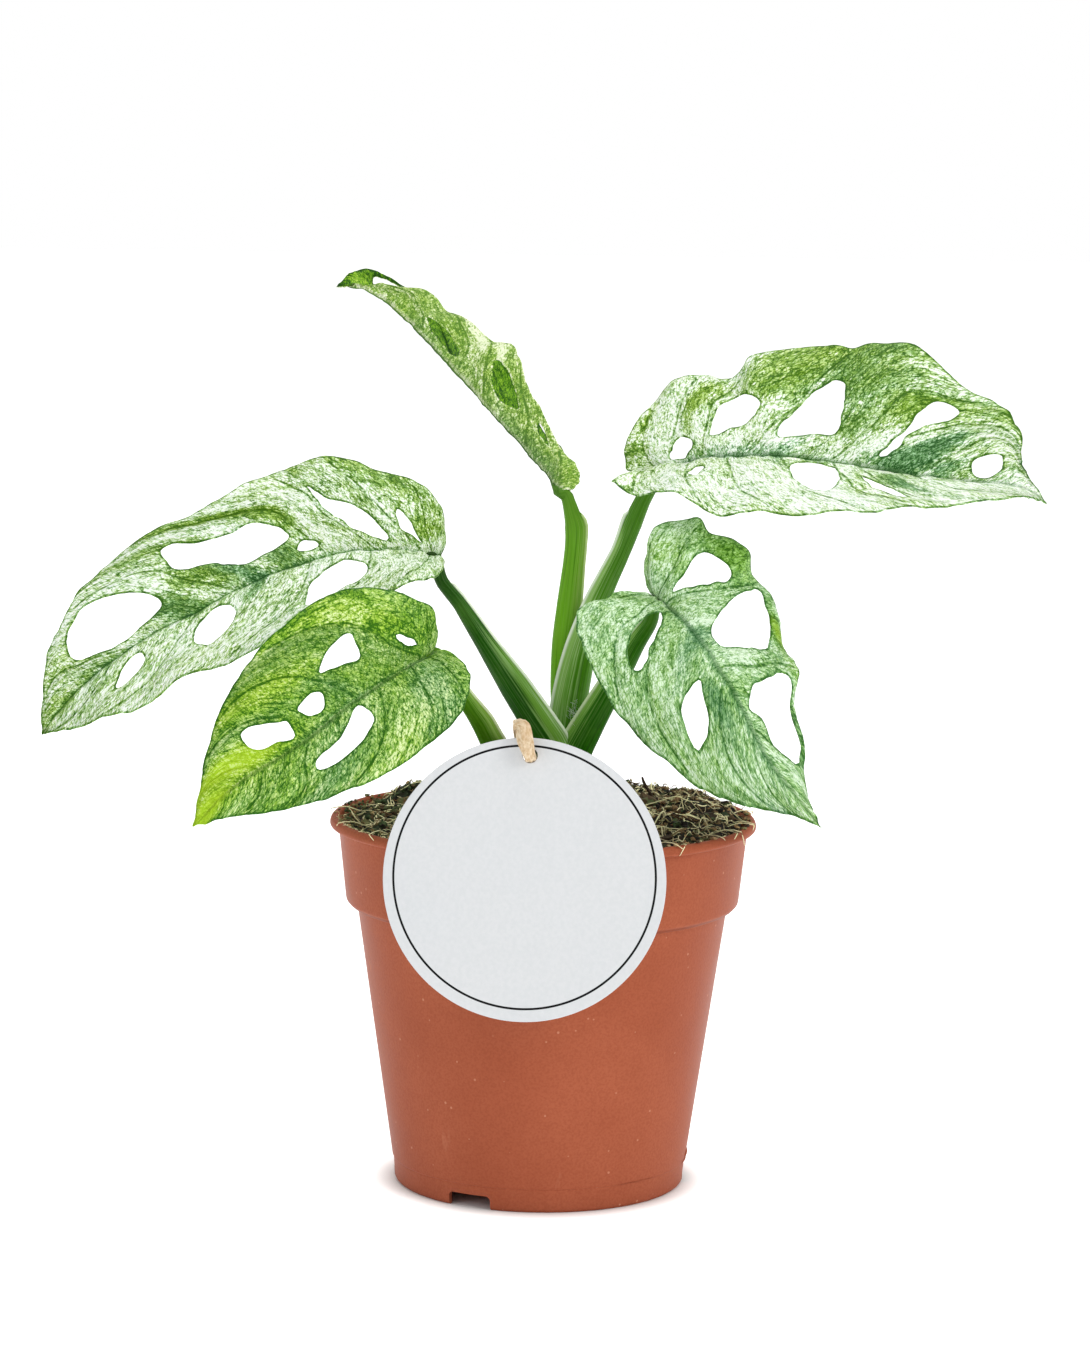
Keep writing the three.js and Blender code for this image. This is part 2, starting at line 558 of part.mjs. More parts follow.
// Parameters from 0 to 1 at even steps along a curve in space, measured on short chords of it.
function evenSteps(pointAt, spacing, least) {
  const samples = 240;
  const lengths = [0];
  let previous = pointAt(0);
  for (let i = 1; i <= samples; i++) {
    const point = pointAt(i / samples);
    lengths.push(lengths[i - 1] + point.distanceTo(previous));
    previous = point;
  }
  const total = lengths[samples];
  const count = Math.max(least, Math.round(total / spacing));
  return Array.from({ length: count + 1 }, (_, k) => {
    const wanted = (total * k) / count;
    const i = Math.max(1, lengths.findIndex((length) => length >= wanted - 1e-9));
    return (i - 1 + (wanted - lengths[i - 1]) / (lengths[i] - lengths[i - 1])) / samples;
  });
}

function isInside(point, outline) {
  let inside = false;
  for (let i = 0, j = outline.length - 1; i < outline.length; j = i++) {
    const a = outline[i];
    const b = outline[j];
    const crosses = a.y > point.y !== b.y > point.y;
    if (crosses && point.x < a.x + ((b.x - a.x) * (point.y - a.y)) / (b.y - a.y)) {
      inside = !inside;
    }
  }
  return inside;
}

// Delaunay triangles of flat points, each triangle anticlockwise: points are added one at a time, and
// the triangles whose circle holds the new point are replaced by a fan from it. They start in one
// triangle whose corners lie far away.
function delaunay(flat) {
  const far = 4000;
  const points = [...flat, { x: -far, y: -far }, { x: far, y: -far }, { x: 0, y: far }];
  const count = flat.length;
  const circleOf = (a, b, c) => {
    const [p, q, r] = [points[a], points[b], points[c]];
    const bx = q.x - p.x;
    const by = q.y - p.y;
    const cx = r.x - p.x;
    const cy = r.y - p.y;
    const d = 2 * (bx * cy - by * cx);
    const x = (cy * (bx * bx + by * by) - by * (cx * cx + cy * cy)) / d;
    const y = (bx * (cx * cx + cy * cy) - cx * (bx * bx + by * by)) / d;
    return { corners: [a, b, c], x: p.x + x, y: p.y + y, square: x * x + y * y };
  };
  let triangles = [circleOf(count, count + 1, count + 2)];
  for (let i = 0; i < count; i++) {
    const edges = new Map();
    const kept = [];
    for (const triangle of triangles) {
      const away = (points[i].x - triangle.x) ** 2 + (points[i].y - triangle.y) ** 2;
      if (away >= triangle.square) {
        kept.push(triangle);
        continue;
      }
      const [a, b, c] = triangle.corners;
      for (const [from, to] of [[a, b], [b, c], [c, a]]) {
        if (!edges.delete(`${to},${from}`)) {
          edges.set(`${from},${to}`, [from, to]);
        }
      }
    }
    triangles = kept;
    for (const [from, to] of edges.values()) {
      triangles.push(circleOf(from, to, i));
    }
  }
  const found = triangles.map((triangle) => triangle.corners);
  return found.filter((corners) => corners.every((k) => k < count));
}

// The blade cut into triangles between its margin and its holes, as places (across, row) and triangles.
function bladeNet(leaf, surface) {
  const lastRow = leaf.rows.length - 1;
  const endRow = lastRow - TIP_TRIM;
  const middle = surface(0, lastRow / 2);
  const halfWidth = middle.distanceTo(surface(1, lastRow / 2));
  const rowStep = surface(0, 0).distanceTo(surface(0, lastRow)) / lastRow;
  // The flat plan in which the triangles are chosen bulges a little, so that its outline is convex.
  const plan = (place) => {
    const bulge = 1 + PLAN_BULGE * Math.sin((Math.PI * place.row) / lastRow);
    return { x: place.across * halfWidth * bulge, y: place.row * rowStep };
  };
  const places = [
    { across: 0, row: lastRow },
    { across: 0, row: 0 },
    { across: -1, row: 0 },
    { across: 1, row: 0 },
  ];
  for (const across of [-1, 1]) {
    for (const step of evenSteps((s) => surface(across, s * endRow), MARGIN_SPACING, 8).slice(1)) {
      places.push({ across, row: step * endRow });
    }
  }
  for (const step of evenSteps((s) => surface(0, s * endRow), MIDRIB_SPACING, 8).slice(1)) {
    places.push({ across: 0, row: step * endRow });
  }
  const holes = leaf.holes.map((hole) => {
    const corners = hole.map(([across, row]) => new THREE.Vector3(across, row, 0));
    const curve = new THREE.CatmullRomCurve3(corners, true);
    const pointAt = (s) => surface(curve.getPoint(s).x, curve.getPoint(s).y);
    const steps = evenSteps(pointAt, HOLE_SPACING, 6).slice(1);
    return steps.map((s) => ({ across: curve.getPoint(s).x, row: curve.getPoint(s).y }));
  });
  const spatial = (place) => surface(place.across, place.row);
  const rim = [...places, ...holes.flat()].map((place) => ({ place, at: spatial(place) }));
  const holePlans = holes.map((hole) => hole.map(plan));
  const inner = [];
  for (let row = TRIAL.firstRow; row < endRow; row += TRIAL.rowStep) {
    for (let across = -TRIAL.reach; across <= TRIAL.reach; across += TRIAL.acrossStep) {
      const place = { across, row };
      const at = spatial(place);
      const isNear = (other, reach) =>
        Math.abs(other.place.across - across) < TRIAL.sameSide && other.at.distanceTo(at) < reach;
      const isTaken =
        rim.some((other) => isNear(other, RIM_CLEARANCE)) ||
        inner.some((other) => isNear(other, INNER_SPACING)) ||
        holePlans.some((outline) => isInside(plan(place), outline));
      if (!isTaken) {
        inner.push({ place, at });
      }
    }
  }
  const all = [...rim, ...inner].map((entry) => entry.place);
  // A hole's edge that the triangles cross gets one more point, until every edge is one of theirs.
  for (let round = 0; round < EDGE_ROUNDS; round++) {
    const flat = all.map(plan);
    const triangles = delaunay(flat);
    const edges = new Set(triangles.flatMap(([a, b, c]) => [`${a},${b}`, `${b},${c}`, `${c},${a}`]));
    const extra = [];
    for (const hole of holes) {
      for (let i = hole.length - 1; i >= 0; i--) {
        const next = hole[(i + 1) % hole.length];
        const [a, b] = [all.indexOf(hole[i]), all.indexOf(next)];
        if (!edges.has(`${a},${b}`) && !edges.has(`${b},${a}`)) {
          const across = (hole[i].across + next.across) / 2;
          const halfway = { across, row: (hole[i].row + next.row) / 2 };
          hole.splice(i + 1, 0, halfway);
          extra.push(halfway);
        }
      }
    }
    if (extra.length === 0) {
      const outlines = holes.map((hole) => hole.map(plan));
      const centre = ([a, b, c]) => ({
        x: (flat[a].x + flat[b].x + flat[c].x) / 3,
        y: (flat[a].y + flat[b].y + flat[c].y) / 3,
      });
      const isHole = (corners) => outlines.some((outline) => isInside(centre(corners), outline));
      return { places: all, triangles: triangles.filter((corners) => !isHole(corners)) };
    }
    all.push(...extra);
  }
  throw new Error("a hole's edge is missing from the blade's triangles");
}

// The net thickened to both sides, with the midrib's keel below, and grown outwards past its edges.
function bladeGeometry(net, surface, grow) {
  const middle = net.places.map((place) => surface(place.across, place.row));
  const flat = indexed(middle, net.triangles);
  flat.computeVertexNormals();
  const normals = middle.map((_, i) => new THREE.Vector3().fromBufferAttribute(flat.attributes.normal, i));
  const edges = new Map();
  for (const [a, b, c] of net.triangles) {
    for (const [from, to] of [[a, b], [b, c], [c, a]]) {
      if (!edges.delete(`${to},${from}`)) {
        edges.set(`${from},${to}`, [from, to]);
      }
    }
  }
  const outwards = middle.map(() => new THREE.Vector3());
  for (const [from, to] of edges.values()) {
    const along = new THREE.Vector3().subVectors(middle[to], middle[from]).normalize();
    for (const i of [from, to]) {
      outwards[i].add(new THREE.Vector3().crossVectors(along, normals[i]));
    }
  }
  const half = BLADE_THICKNESS / 2 + grow;
  const top = [];
  const bottom = [];
  middle.forEach((point, i) => {
    const away = point.distanceTo(surface(0, net.places[i].row));
    const keel = KEEL_DEPTH * Math.max(0, 1 - away / KEEL_WIDTH);
    const grown = point.clone().addScaledVector(outwards[i].normalize(), grow);
    top.push(grown.clone().addScaledVector(normals[i], half));
    bottom.push(grown.clone().addScaledVector(normals[i], -half - keel));
  });
  const count = middle.length;
  const faces = [];
  for (const [a, b, c] of net.triangles) {
    faces.push([a, b, c], [c + count, b + count, a + count]);
  }
  for (const [from, to] of edges.values()) {
    faces.push([to, from, from + count], [to, from + count, to + count]);
  }
  const used = new Set(faces.flat());
  const order = new Map([...used].map((k, i) => [k, i]));
  const points = [...top, ...bottom];
  return indexed([...used].map((k) => points[k]), faces.map((face) => face.map((k) => order.get(k))));
}

// A petiole: round at the blade, widening into the sheath that clasps the stem.
function petioleGeometry(points, grow) {
  const centre = alongRows(points.map(([x, y, z]) => [x, y, z]));
  const last = points.length - 1;
  const depthAxis = new THREE.Vector3(0, 1, 0);
  const rings = evenSteps((s) => centre(s * last), PETIOLE_STEP, 8).map((s) => {
    const row = s * last;
    const i = Math.min(last - 1, Math.floor(row));
    const width = THREE.MathUtils.lerp(points[i][3], points[i + 1][3], row - i) / 2 + grow;
    const tangent = centre(row + 0.02).sub(centre(row - 0.02)).normalize();
    const side = new THREE.Vector3().crossVectors(tangent, depthAxis).normalize();
    const front = new THREE.Vector3().crossVectors(side, tangent);
    return Array.from({ length: PETIOLE_SIDES }, (_, j) => {
      const angle = (-j * 2 * Math.PI) / PETIOLE_SIDES;
      return centre(row)
        .addScaledVector(side, width * Math.cos(angle))
        .addScaledVector(front, width * PETIOLE_FLATNESS * Math.sin(angle));
    });
  });
  return lofted(rings);
}

// TAG AND TIE

// Round card with one hole, leaning on the pot's lip.
function tagMesh() {
  const radius = TAG.diameter / 2;
  const outline = new THREE.Shape().absarc(0, 0, radius, 0, 2 * Math.PI);
  const hole = new THREE.Path().absarc(0, radius - TAG.holeDrop, TAG.holeRadius, 0, 2 * Math.PI);
  outline.holes.push(hole);
  const sheet = { depth: TAG.thickness, bevelEnabled: false, curveSegments: 32 };
  const mesh = piece("tag", new THREE.ExtrudeGeometry(outline, sheet), 0xe0e2e4, 0.55);
  const lipZ = POT_HEIGHT - LIP_HEIGHT / 2;
  const lean = radians(TAG.lean);
  mesh.position.set(TAG.x, -(LIP_RADIUS + GAP + (lipZ - TAG.z) * Math.tan(lean)), TAG.z);
  mesh.rotation.set(Math.PI / 2 - lean, 0, radians(TAG.turn));
  const turnedTag = new THREE.Group();
  turnedTag.rotation.z = radians(TAG.yaw);
  turnedTag.add(mesh);
  return turnedTag;
}

// Raffia: a closed loop through the tag's hole, over its edge, back and round all the sheaths but the
// lowest leaf's. Points are [x, y, z, thickness].
const TIE_ROUTE = [
  [-3.7, -55, 129.6, 2.6],
  [-3.7, -58.2, 129.6, 2.9],
  [-4.2, -60.6, 131.1, 3.4],
  [-5.1, -60.4, 134.9, 4.2],
  [-6.2, -57.6, 137.6, 4.2],
  [-6.6, -53.6, 136.2, 3.4],
  [-6.4, -40, 130.8, 2.6],
  [-5.6, -26, 126.8, 2.6],
  [-4.6, -14, 124.2, 2.6],
  [-4.4, -4, 123, 2.6],
  [-3.6, 5, 122, 2.6],
  [1.5, 11.5, 120.5, 2.6],
  [9.5, 11.5, 119.2, 2.6],
  [15, 5, 117.8, 2.6],
  [15.6, -4, 117, 2.6],
  [11, -11, 117.8, 2.6],
  [3.5, -17, 119.8, 2.6],
  [-1, -30, 123.2, 2.6],
  [-3.2, -44, 126.5, 2.6],
];

function tieGeometry() {
  const centres = TIE_ROUTE.map(([x, y, z]) => new THREE.Vector3(x, y, z));
  const curve = new THREE.CatmullRomCurve3(centres, true, "catmullrom", 0.5);
  const steps = Math.round(curve.getLength() / TIE_STEP);
  const frames = curve.computeFrenetFrames(steps, true);
  const points = [];
  const faces = [];
  for (let i = 0; i < steps; i++) {
    const place = curve.getUtoTmapping(i / steps) * TIE_ROUTE.length;
    const k = Math.floor(place);
    const next = TIE_ROUTE[(k + 1) % TIE_ROUTE.length];
    const radius = THREE.MathUtils.lerp(TIE_ROUTE[k][3], next[3], place - k) / 2;
    for (let j = 0; j < TIE_SIDES; j++) {
      const angle = (j * 2 * Math.PI) / TIE_SIDES;
      points.push(
        curve
          .getPoint(place / TIE_ROUTE.length)
          .addScaledVector(frames.normals[i], radius * Math.cos(angle))
          .addScaledVector(frames.binormals[i], radius * Math.sin(angle)),
      );
      const after = (j + 1) % TIE_SIDES;
      const nextRing = ((i + 1) % steps) * TIE_SIDES;
      const a = i * TIE_SIDES + j;
      const b = i * TIE_SIDES + after;
      faces.push([a, b, nextRing + after], [a, nextRing + after, nextRing + j]);
    }
  }
  return indexed(points, faces);
}

// THE WHOLE PLANT

const plant = new THREE.Group();
plant.add(piece("pot", potGeometry(), 0xb06042, 0.5));
plant.add(piece("soil", soilGeometry(), 0x3b2e23, 0.95));
plant.add(piece("main_stem", geometryOf(stemSolid(0)), 0x5d8a35, 0.5));

const blades = new Map();
for (const [name, leaf] of Object.entries(LEAVES)) {
  const surface = bladeSurface(leaf);
  const net = bladeNet(leaf, surface);
  plant.add(piece(`leaf_${name}`, bladeGeometry(net, surface, 0), leaf.colour, 0.45));
  blades.set(name, solidOf(bladeGeometry(net, surface, GAP)));
}

// Each sheath is cut back to clear its blade, the stem and the sheaths that lie in front of it.
const FRONT_TO_BACK = ["far_left", "low_right", "right", "low_left", "top"];
const inFront = [stemSolid(GAP)];
for (const name of FRONT_TO_BACK) {
  let petiole = solidOf(petioleGeometry(LEAVES[name].petiole, 0)).subtract(blades.get(name));
  for (const other of inFront) {
    petiole = petiole.subtract(other);
  }
  inFront.push(solidOf(petioleGeometry(LEAVES[name].petiole, GAP)));
  plant.add(piece(`petiole_${name}`, geometryOf(biggestBody(petiole)), 0x5f9a3c, 0.45));
}

plant.add(tagMesh());
plant.add(piece("tag_tie", tieGeometry(), 0xd6bd96, 0.85));

export default plant;
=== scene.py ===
"""A young swiss cheese vine with mint-marbled leaves, in its 12 cm nursery pot with a round hang tag."""
import math
import random

import bpy
import numpy as np
from mathutils import Matrix, Vector, kdtree, noise
from mathutils.geometry import delaunay_2d_cdt


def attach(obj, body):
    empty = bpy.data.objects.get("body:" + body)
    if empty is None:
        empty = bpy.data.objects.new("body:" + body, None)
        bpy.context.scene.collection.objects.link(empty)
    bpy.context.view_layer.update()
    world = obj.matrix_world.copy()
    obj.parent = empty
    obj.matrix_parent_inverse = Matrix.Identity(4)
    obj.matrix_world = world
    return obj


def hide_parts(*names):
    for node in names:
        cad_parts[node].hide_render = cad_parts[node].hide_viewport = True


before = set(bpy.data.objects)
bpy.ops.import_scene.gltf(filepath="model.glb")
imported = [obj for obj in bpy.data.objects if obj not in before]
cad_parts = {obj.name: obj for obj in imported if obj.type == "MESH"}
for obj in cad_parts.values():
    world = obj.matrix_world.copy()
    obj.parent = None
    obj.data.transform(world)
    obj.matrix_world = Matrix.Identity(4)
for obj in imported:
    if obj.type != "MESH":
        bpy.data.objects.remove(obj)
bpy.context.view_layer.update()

# CAMERA
# A long lens 1.14 m in front of the pot, a little above the leaves, looking slightly down and
# leaning by less than a degree, as in the photograph.

camera_data = bpy.data.cameras.new("camera")
camera_data.sensor_fit = "VERTICAL"
camera_data.sensor_height = 36
camera_data.lens = 108.2
camera = bpy.data.objects.new("camera", camera_data)
camera.matrix_world = (
    Matrix.Translation((0, -1.138, 0.298))
    @ Matrix.Rotation(math.radians(82.2), 4, "X")
    @ Matrix.Rotation(math.radians(0.75), 4, "Z")
)
bpy.context.scene.collection.objects.link(camera)
bpy.context.scene.camera = camera

# STUDIO
# White surroundings give most of the light, with one soft lamp above. A large soft lamp in front on
# the right and a weaker one on the left make the pot's right side the lighter one. The floor is
# pale, and glows away from the pot as a lit white sweep does.

bpy.context.scene.view_settings.view_transform = "Standard"


def put(tree, kind, sockets=None, **settings):
    """Adds a node. A number or colour is set on its socket, and another node's output is linked to it."""
    node = tree.nodes.new("ShaderNode" + kind)
    for key, value in settings.items():
        setattr(node, key, value)
    for key, value in (sockets or {}).items():
        if isinstance(value, bpy.types.NodeSocket):
            tree.links.new(value, node.inputs[key])
        else:
            node.inputs[key].default_value = value
    return node.outputs


studio = bpy.data.worlds.new("studio")
bpy.context.scene.world = studio
studio.use_nodes = True
air = studio.node_tree
air.nodes["Background"].inputs["Color"].default_value = (1, 1, 1, 1)
seen = put(air, "LightPath")["Is Camera Ray"]
brightness = put(air, "MapRange", {"Value": seen, "To Min": 0.56, "To Max": 1.0})["Result"]
air.links.new(brightness, air.nodes["Background"].inputs["Strength"])


def hang_lamp(name, place, aim, size, power, tint):
    lamp_data = bpy.data.lights.new(name, "AREA")
    lamp_data.shape = "SQUARE"
    lamp_data.size = size
    lamp_data.energy = power
    lamp_data.color = tint
    lamp = bpy.data.objects.new(name, lamp_data)
    lamp.location = place
    lamp.rotation_euler = (Vector(aim) - Vector(place)).to_track_quat("-Z", "Y").to_euler()
    bpy.context.scene.collection.objects.link(lamp)


hang_lamp("right_lamp", (1.5, -1.3, 1.2), (0, 0, 0.12), 0.9, 17, (1, 0.97, 0.93))
hang_lamp("left_lamp", (-1.6, -1.1, 0.9), (0, 0, 0.12), 0.9, 5, (0.93, 0.95, 1))
hang_lamp("top_lamp", (0, 0.3, 2.0), (0, 0, 0), 1.4, 20, (1, 1, 1))

floor_mesh = bpy.data.meshes.new("floor")
floor_mesh.from_pydata([(-8, -8, 0), (8, -8, 0), (8, 8, 0), (-8, 8, 0)], [], [(0, 1, 2, 3)])
floor = bpy.data.objects.new("floor", floor_mesh)
bpy.context.scene.collection.objects.link(floor)
floor_paint = bpy.data.materials.new("floor_paint")
floor_paint.use_nodes = True
tree = floor_paint.node_tree
floor_shader = tree.nodes["Principled BSDF"].inputs
floor_shader["Base Color"].default_value = (0.93, 0.93, 0.93, 1)
floor_shader["Roughness"].default_value = 0.8
floor_shader["Emission Color"].default_value = (1, 1, 1, 1)
from_pot = put(tree, "VectorMath", {0: put(tree, "TexCoord")["Object"]}, operation="LENGTH")["Value"]
glow = put(tree, "MapRange", {"Value": from_pot, "From Min": 0.0405, "From Max": 0.047, "To Max": 0.6})
tree.links.new(glow["Result"], floor_shader["Emission Strength"])
floor_mesh.materials.append(floor_paint)

# POT
# A thin 12 cm nursery pot, injection moulded in terracotta coloured plastic: rolled lip, straight
# stacking collar, tapered wall, foot ring with three notches and a raised floor with drain holes.

MM = 0.001
POT_HEIGHT = 104
LIP_RADIUS = 60
LIP_FOOT = POT_HEIGHT - 2.8
COLLAR_TOP_RADIUS = 57.5
COLLAR_FOOT_RADIUS = 55.5
COLLAR_FOOT_Z = 82.4
STEP_RADIUS = 52.1
STEP_Z = 79
FOOT_RADIUS = 41
FOOT_LINE_Z = 6.9
POT_WALL = 1.3
FLOOR_Z = 4.4
FLOOR_TOP = FLOOR_Z + POT_WALL
INNER_FOOT = FOOT_RADIUS - POT_WALL
POT_CREASE = 40
NOTCHES = 3
FIRST_NOTCH = -118
NOTCH_HALF = 6.5
NOTCH_TOP = 3.9
NOTCH_CORNER = 1.4
NOTCH_FROM = 35
NOTCH_DEPTH = 12
DRAIN_HOLES = 6
DRAIN_RADIUS = 4
DRAIN_RING = 25


def ranged(tree, value, low, high, to_low=0.0, to_high=1.0):
    """A smooth step of the value from one range to another."""
    sockets = {"Value": value, "From Min": low, "From Max": high, "To Min": to_low, "To Max": to_high}
    return put(tree, "MapRange", sockets, interpolation_type="SMOOTHSTEP")["Result"]


def counted(tree, how, first, second=0.0):
    """One number worked out from two."""
    return put(tree, "Math", {0: first, 1: second}, operation=how)[0]


def noise_of(tree, place, scale, detail=3, roughness=0.5):
    """A cloudy value between 0 and 1."""
    sockets = {"Vector": place, "Scale": scale, "Detail": detail, "Roughness": roughness}
    return put(tree, "TexNoise", sockets)[0]


def colour(*paint):
    """A shader colour from the 0 to 255 numbers of a paint chart."""
    return (*(c / 255 / 12.92 if c < 11 else ((c / 255 + 0.055) / 1.055) ** 2.4 for c in paint), 1)


def glazed(tree, tone, *layers):
    """A colour under more layers, each with how much of it shows. A colour may be paint chart numbers."""
    for amount, layer in layers:
        tone, layer = (colour(*paint) if isinstance(paint, tuple) else paint for paint in (tone, layer))
        tone = put(tree, "Mix", {0: amount, 6: tone, 7: layer}, data_type="RGBA")[2]
    return tone


def new_finish(name, roughness, shine=0.3):
    """A material and its node tree, with the gloss of its shader."""
    material = bpy.data.materials.new(name)
    material.use_nodes = True
    shader = material.node_tree.nodes["Principled BSDF"].inputs
    shader["Roughness"].default_value = roughness
    shader["Specular IOR Level"].default_value = shine
    return material, material.node_tree


def lay_on(tree, tone, height=None, strength=0.0, depth=0.0, roughness=None):
    """Gives the shader its colour, the bumps on its surface and, where that changes, its roughness."""
    shader = tree.nodes["Principled BSDF"].inputs
    tree.links.new(tone, shader["Base Color"])
    if height is not None:
        bump = put(tree, "Bump", {"Strength": strength, "Distance": depth, "Height": height})
        tree.links.new(bump["Normal"], shader["Normal"])
    if roughness is not None:
        tree.links.new(roughness, shader["Roughness"])


def new_group(name, inputs, outputs):
    """A node group and its two ends. Each input is a place, where it has no value, a number or a colour."""
    group = bpy.data.node_groups.new(name, "ShaderNodeTree")
    for key, value in inputs.items():
        kind = "Vector" if value is None else "Color" if isinstance(value, tuple) else "Float"
        socket = group.interface.new_socket(key, in_out="INPUT", socket_type="NodeSocket" + kind)
        if value is not None:
            socket.default_value = value
    for key in outputs:
        kind = "Color" if key == "Color" else "Float"
        group.interface.new_socket(key, in_out="OUTPUT", socket_type="NodeSocket" + kind)
    return group, group.nodes.new("NodeGroupInput").outputs, group.nodes.new("NodeGroupOutput").inputs


def specks_group():
    """Dust specks and fine scuffs, as on anything that was handled in a nursery."""
    inputs = {"Place": None, "Speck Scale": 400, "Scuff Scale": 60}
    group, start, end = new_group("specks_and_scuffs", inputs, ("Specks", "Scuffs"))
    cells = put(group, "TexVoronoi", {"Vector": start["Place"], "Scale": start["Speck Scale"]})
    rare = ranged(group, put(group, "SeparateColor", {"Color": cells["Color"]})["Red"], 0.955, 0.965)
    small = ranged(group, cells["Distance"], 0.28, 0.16)
    group.links.new(counted(group, "MULTIPLY", rare, small), end["Specks"])
    sockets = {"Vector": start["Place"], "Scale": (1, 1, 0.12), "Rotation": (0.5, 0.35, 0.2)}
    threads = noise_of(group, put(group, "Mapping", sockets)["Vector"], start["Scuff Scale"], 4)
    where = ranged(group, noise_of(group, start["Place"], 22, 2), 0.52, 0.68)
    group.links.new(counted(group, "MULTIPLY", ranged(group, threads, 0.66, 0.74), where), end["Scuffs"])
    return group


plastic, tree = new_finish("terracotta_plastic", 0.42, 0.05)
place = put(tree, "TexCoord")["Object"]
sockets = {"Place": place, "Speck Scale": 620, "Scuff Scale": 260}
marks = put(tree, "Group", sockets, node_tree=specks_group())
clouds = noise_of(tree, place, 26, 4, 0.6)
grain = noise_of(tree, place, 1500, 2)
height = put(tree, "SeparateXYZ", {"Vector": place})["Z"]
# A thin darker band round the step just under the collar is painted shade.
from_step_shade = counted(tree, "ABSOLUTE", counted(tree, "SUBTRACT", height, (STEP_Z + 0.6) * MM))
tone = glazed(
    tree, (151, 79, 54),
    (ranged(tree, clouds, 0.3, 0.7), (161, 88, 62)),
    (ranged(tree, grain, 0.35, 0.7, 0, 0.3), (124, 58, 38)),
    (counted(tree, "MULTIPLY", marks["Scuffs"], 0.5), (204, 138, 110)),
    (counted(tree, "MULTIPLY", marks["Specks"], 0.4), (210, 152, 122)),
    (ranged(tree, from_step_shade, 0.001, 0.0003, 0, 0.5), (100, 44, 28)),
)
dull = ranged(tree, clouds, 0.3, 0.7, 0.38, 0.5)
dull = counted(tree, "ADD", dull, counted(tree, "MULTIPLY", marks["Scuffs"], 0.2))
lay_on(tree, tone, grain, 0.25, 0.0002, dull)


def filleted(outline, radius, steps=4):
    """The outline with each corner rounded by a short curve."""
    points = [Vector(point) for point in outline]
    rounded = [points[0]]
    for before, corner, after in zip(points, points[1:], points[2:]):
        start, end = (
            corner + (other - corner).normalized() * min(radius, 0.45 * (other - corner).length)
            for other in (before, after)
        )
        for k in range(steps + 1):
            t = k / steps
            rounded.append(start * (1 - t) ** 2 + corner * 2 * t * (1 - t) + end * t**2)
    rounded.append(points[-1])
    return rounded


def polar(radius, angle):
    return radius * math.cos(angle), radius * math.sin(angle)


def circle(radius, sides):
    """Points all the way round a circle."""
    return [polar(radius, 2 * math.pi * j / sides) for j in range(sides)]


def turned_faces(rings, sides):
    """The faces of a turned body: a fan at its foot, quads between its rings and a fan on top."""
    faces = []
    for j in range(sides):
        after = (j + 1) % sides
        faces.append((0, 1 + after, 1 + j))
        for low in range(1, 1 + (rings - 1) * sides, sides):
            faces.append((low + j, low + after, low + sides + after, low + sides + j))
        last = 1 + (rings - 1) * sides
        faces.append((last + j, last + after, last + sides))
    return faces


def turned(outline, sides):
    """Points and faces of a body turned about the Z axis, from an outline that starts and ends on it."""
    points = [(0, 0, outline[0][1])]
    for radius, z in outline[1:-1]:
        points += [(x, y, z) for x, y in circle(radius, sides)]
    points.append((0, 0, outline[-1][1]))
    return points, turned_faces(len(outline) - 2, sides)


def new_piece(name, points, faces, material, crease=35):
    mesh = bpy.data.meshes.new(name)
    mesh.from_pydata((np.asarray(points, dtype=float) * MM).tolist(), [], faces)
    mesh.shade_smooth()
    mesh.set_sharp_from_angle(angle=math.radians(crease))
    mesh.materials.append(material)
    piece = bpy.data.objects.new(name, mesh)
    bpy.context.scene.collection.objects.link(piece)
    return piece


def fit_piece(piece, slot, *nodes):
    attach(piece, "root")
    if nodes:
        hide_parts(*nodes)


pot_outline = [
    (0, FLOOR_Z), (INNER_FOOT - 0.6, FLOOR_Z), (INNER_FOOT - 0.2, FLOOR_Z - 0.6), (INNER_FOOT - 0.5, 0.3),
    (INNER_FOOT, 0), (FOOT_RADIUS - 0.6, 0), (FOOT_RADIUS, 0.8), (FOOT_RADIUS + 0.3, FOOT_LINE_Z - 0.3),
    (FOOT_RADIUS + 0.62, FOOT_LINE_Z - 0.1), (FOOT_RADIUS + 0.7, FOOT_LINE_Z + 0.3),
    (STEP_RADIUS, STEP_Z - 0.3), (STEP_RADIUS + 0.5, STEP_Z), (COLLAR_FOOT_RADIUS - 1.2, STEP_Z + 0.5),
    (COLLAR_FOOT_RADIUS - 0.2, STEP_Z + 1.6), (COLLAR_FOOT_RADIUS, COLLAR_FOOT_Z),
    (COLLAR_TOP_RADIUS, LIP_FOOT - 0.2), (LIP_RADIUS - 0.9, LIP_FOOT), (LIP_RADIUS - 0.1, LIP_FOOT + 0.4),
    (LIP_RADIUS, LIP_FOOT + 1.2), (LIP_RADIUS - 0.4, POT_HEIGHT - 0.5), (LIP_RADIUS - 1.2, POT_HEIGHT),
    (LIP_RADIUS - 1.9, POT_HEIGHT), (LIP_RADIUS - 2.6, POT_HEIGHT - 0.6),
    (COLLAR_TOP_RADIUS - POT_WALL, LIP_FOOT - 1.2), (COLLAR_FOOT_RADIUS - POT_WALL, COLLAR_FOOT_Z - 0.4),
    (COLLAR_FOOT_RADIUS - POT_WALL - 0.6, STEP_Z + 2), (STEP_RADIUS - POT_WALL + 0.4, STEP_Z + 1.4),
    (STEP_RADIUS - POT_WALL, STEP_Z), (FOOT_RADIUS - 0.4, FLOOR_TOP + 1.6), (INNER_FOOT - 0.1, FLOOR_TOP),
    (0, FLOOR_TOP),
]
pot = new_piece("pot_shell", *turned(filleted(pot_outline, 0.4), 180), plastic, POT_CREASE)


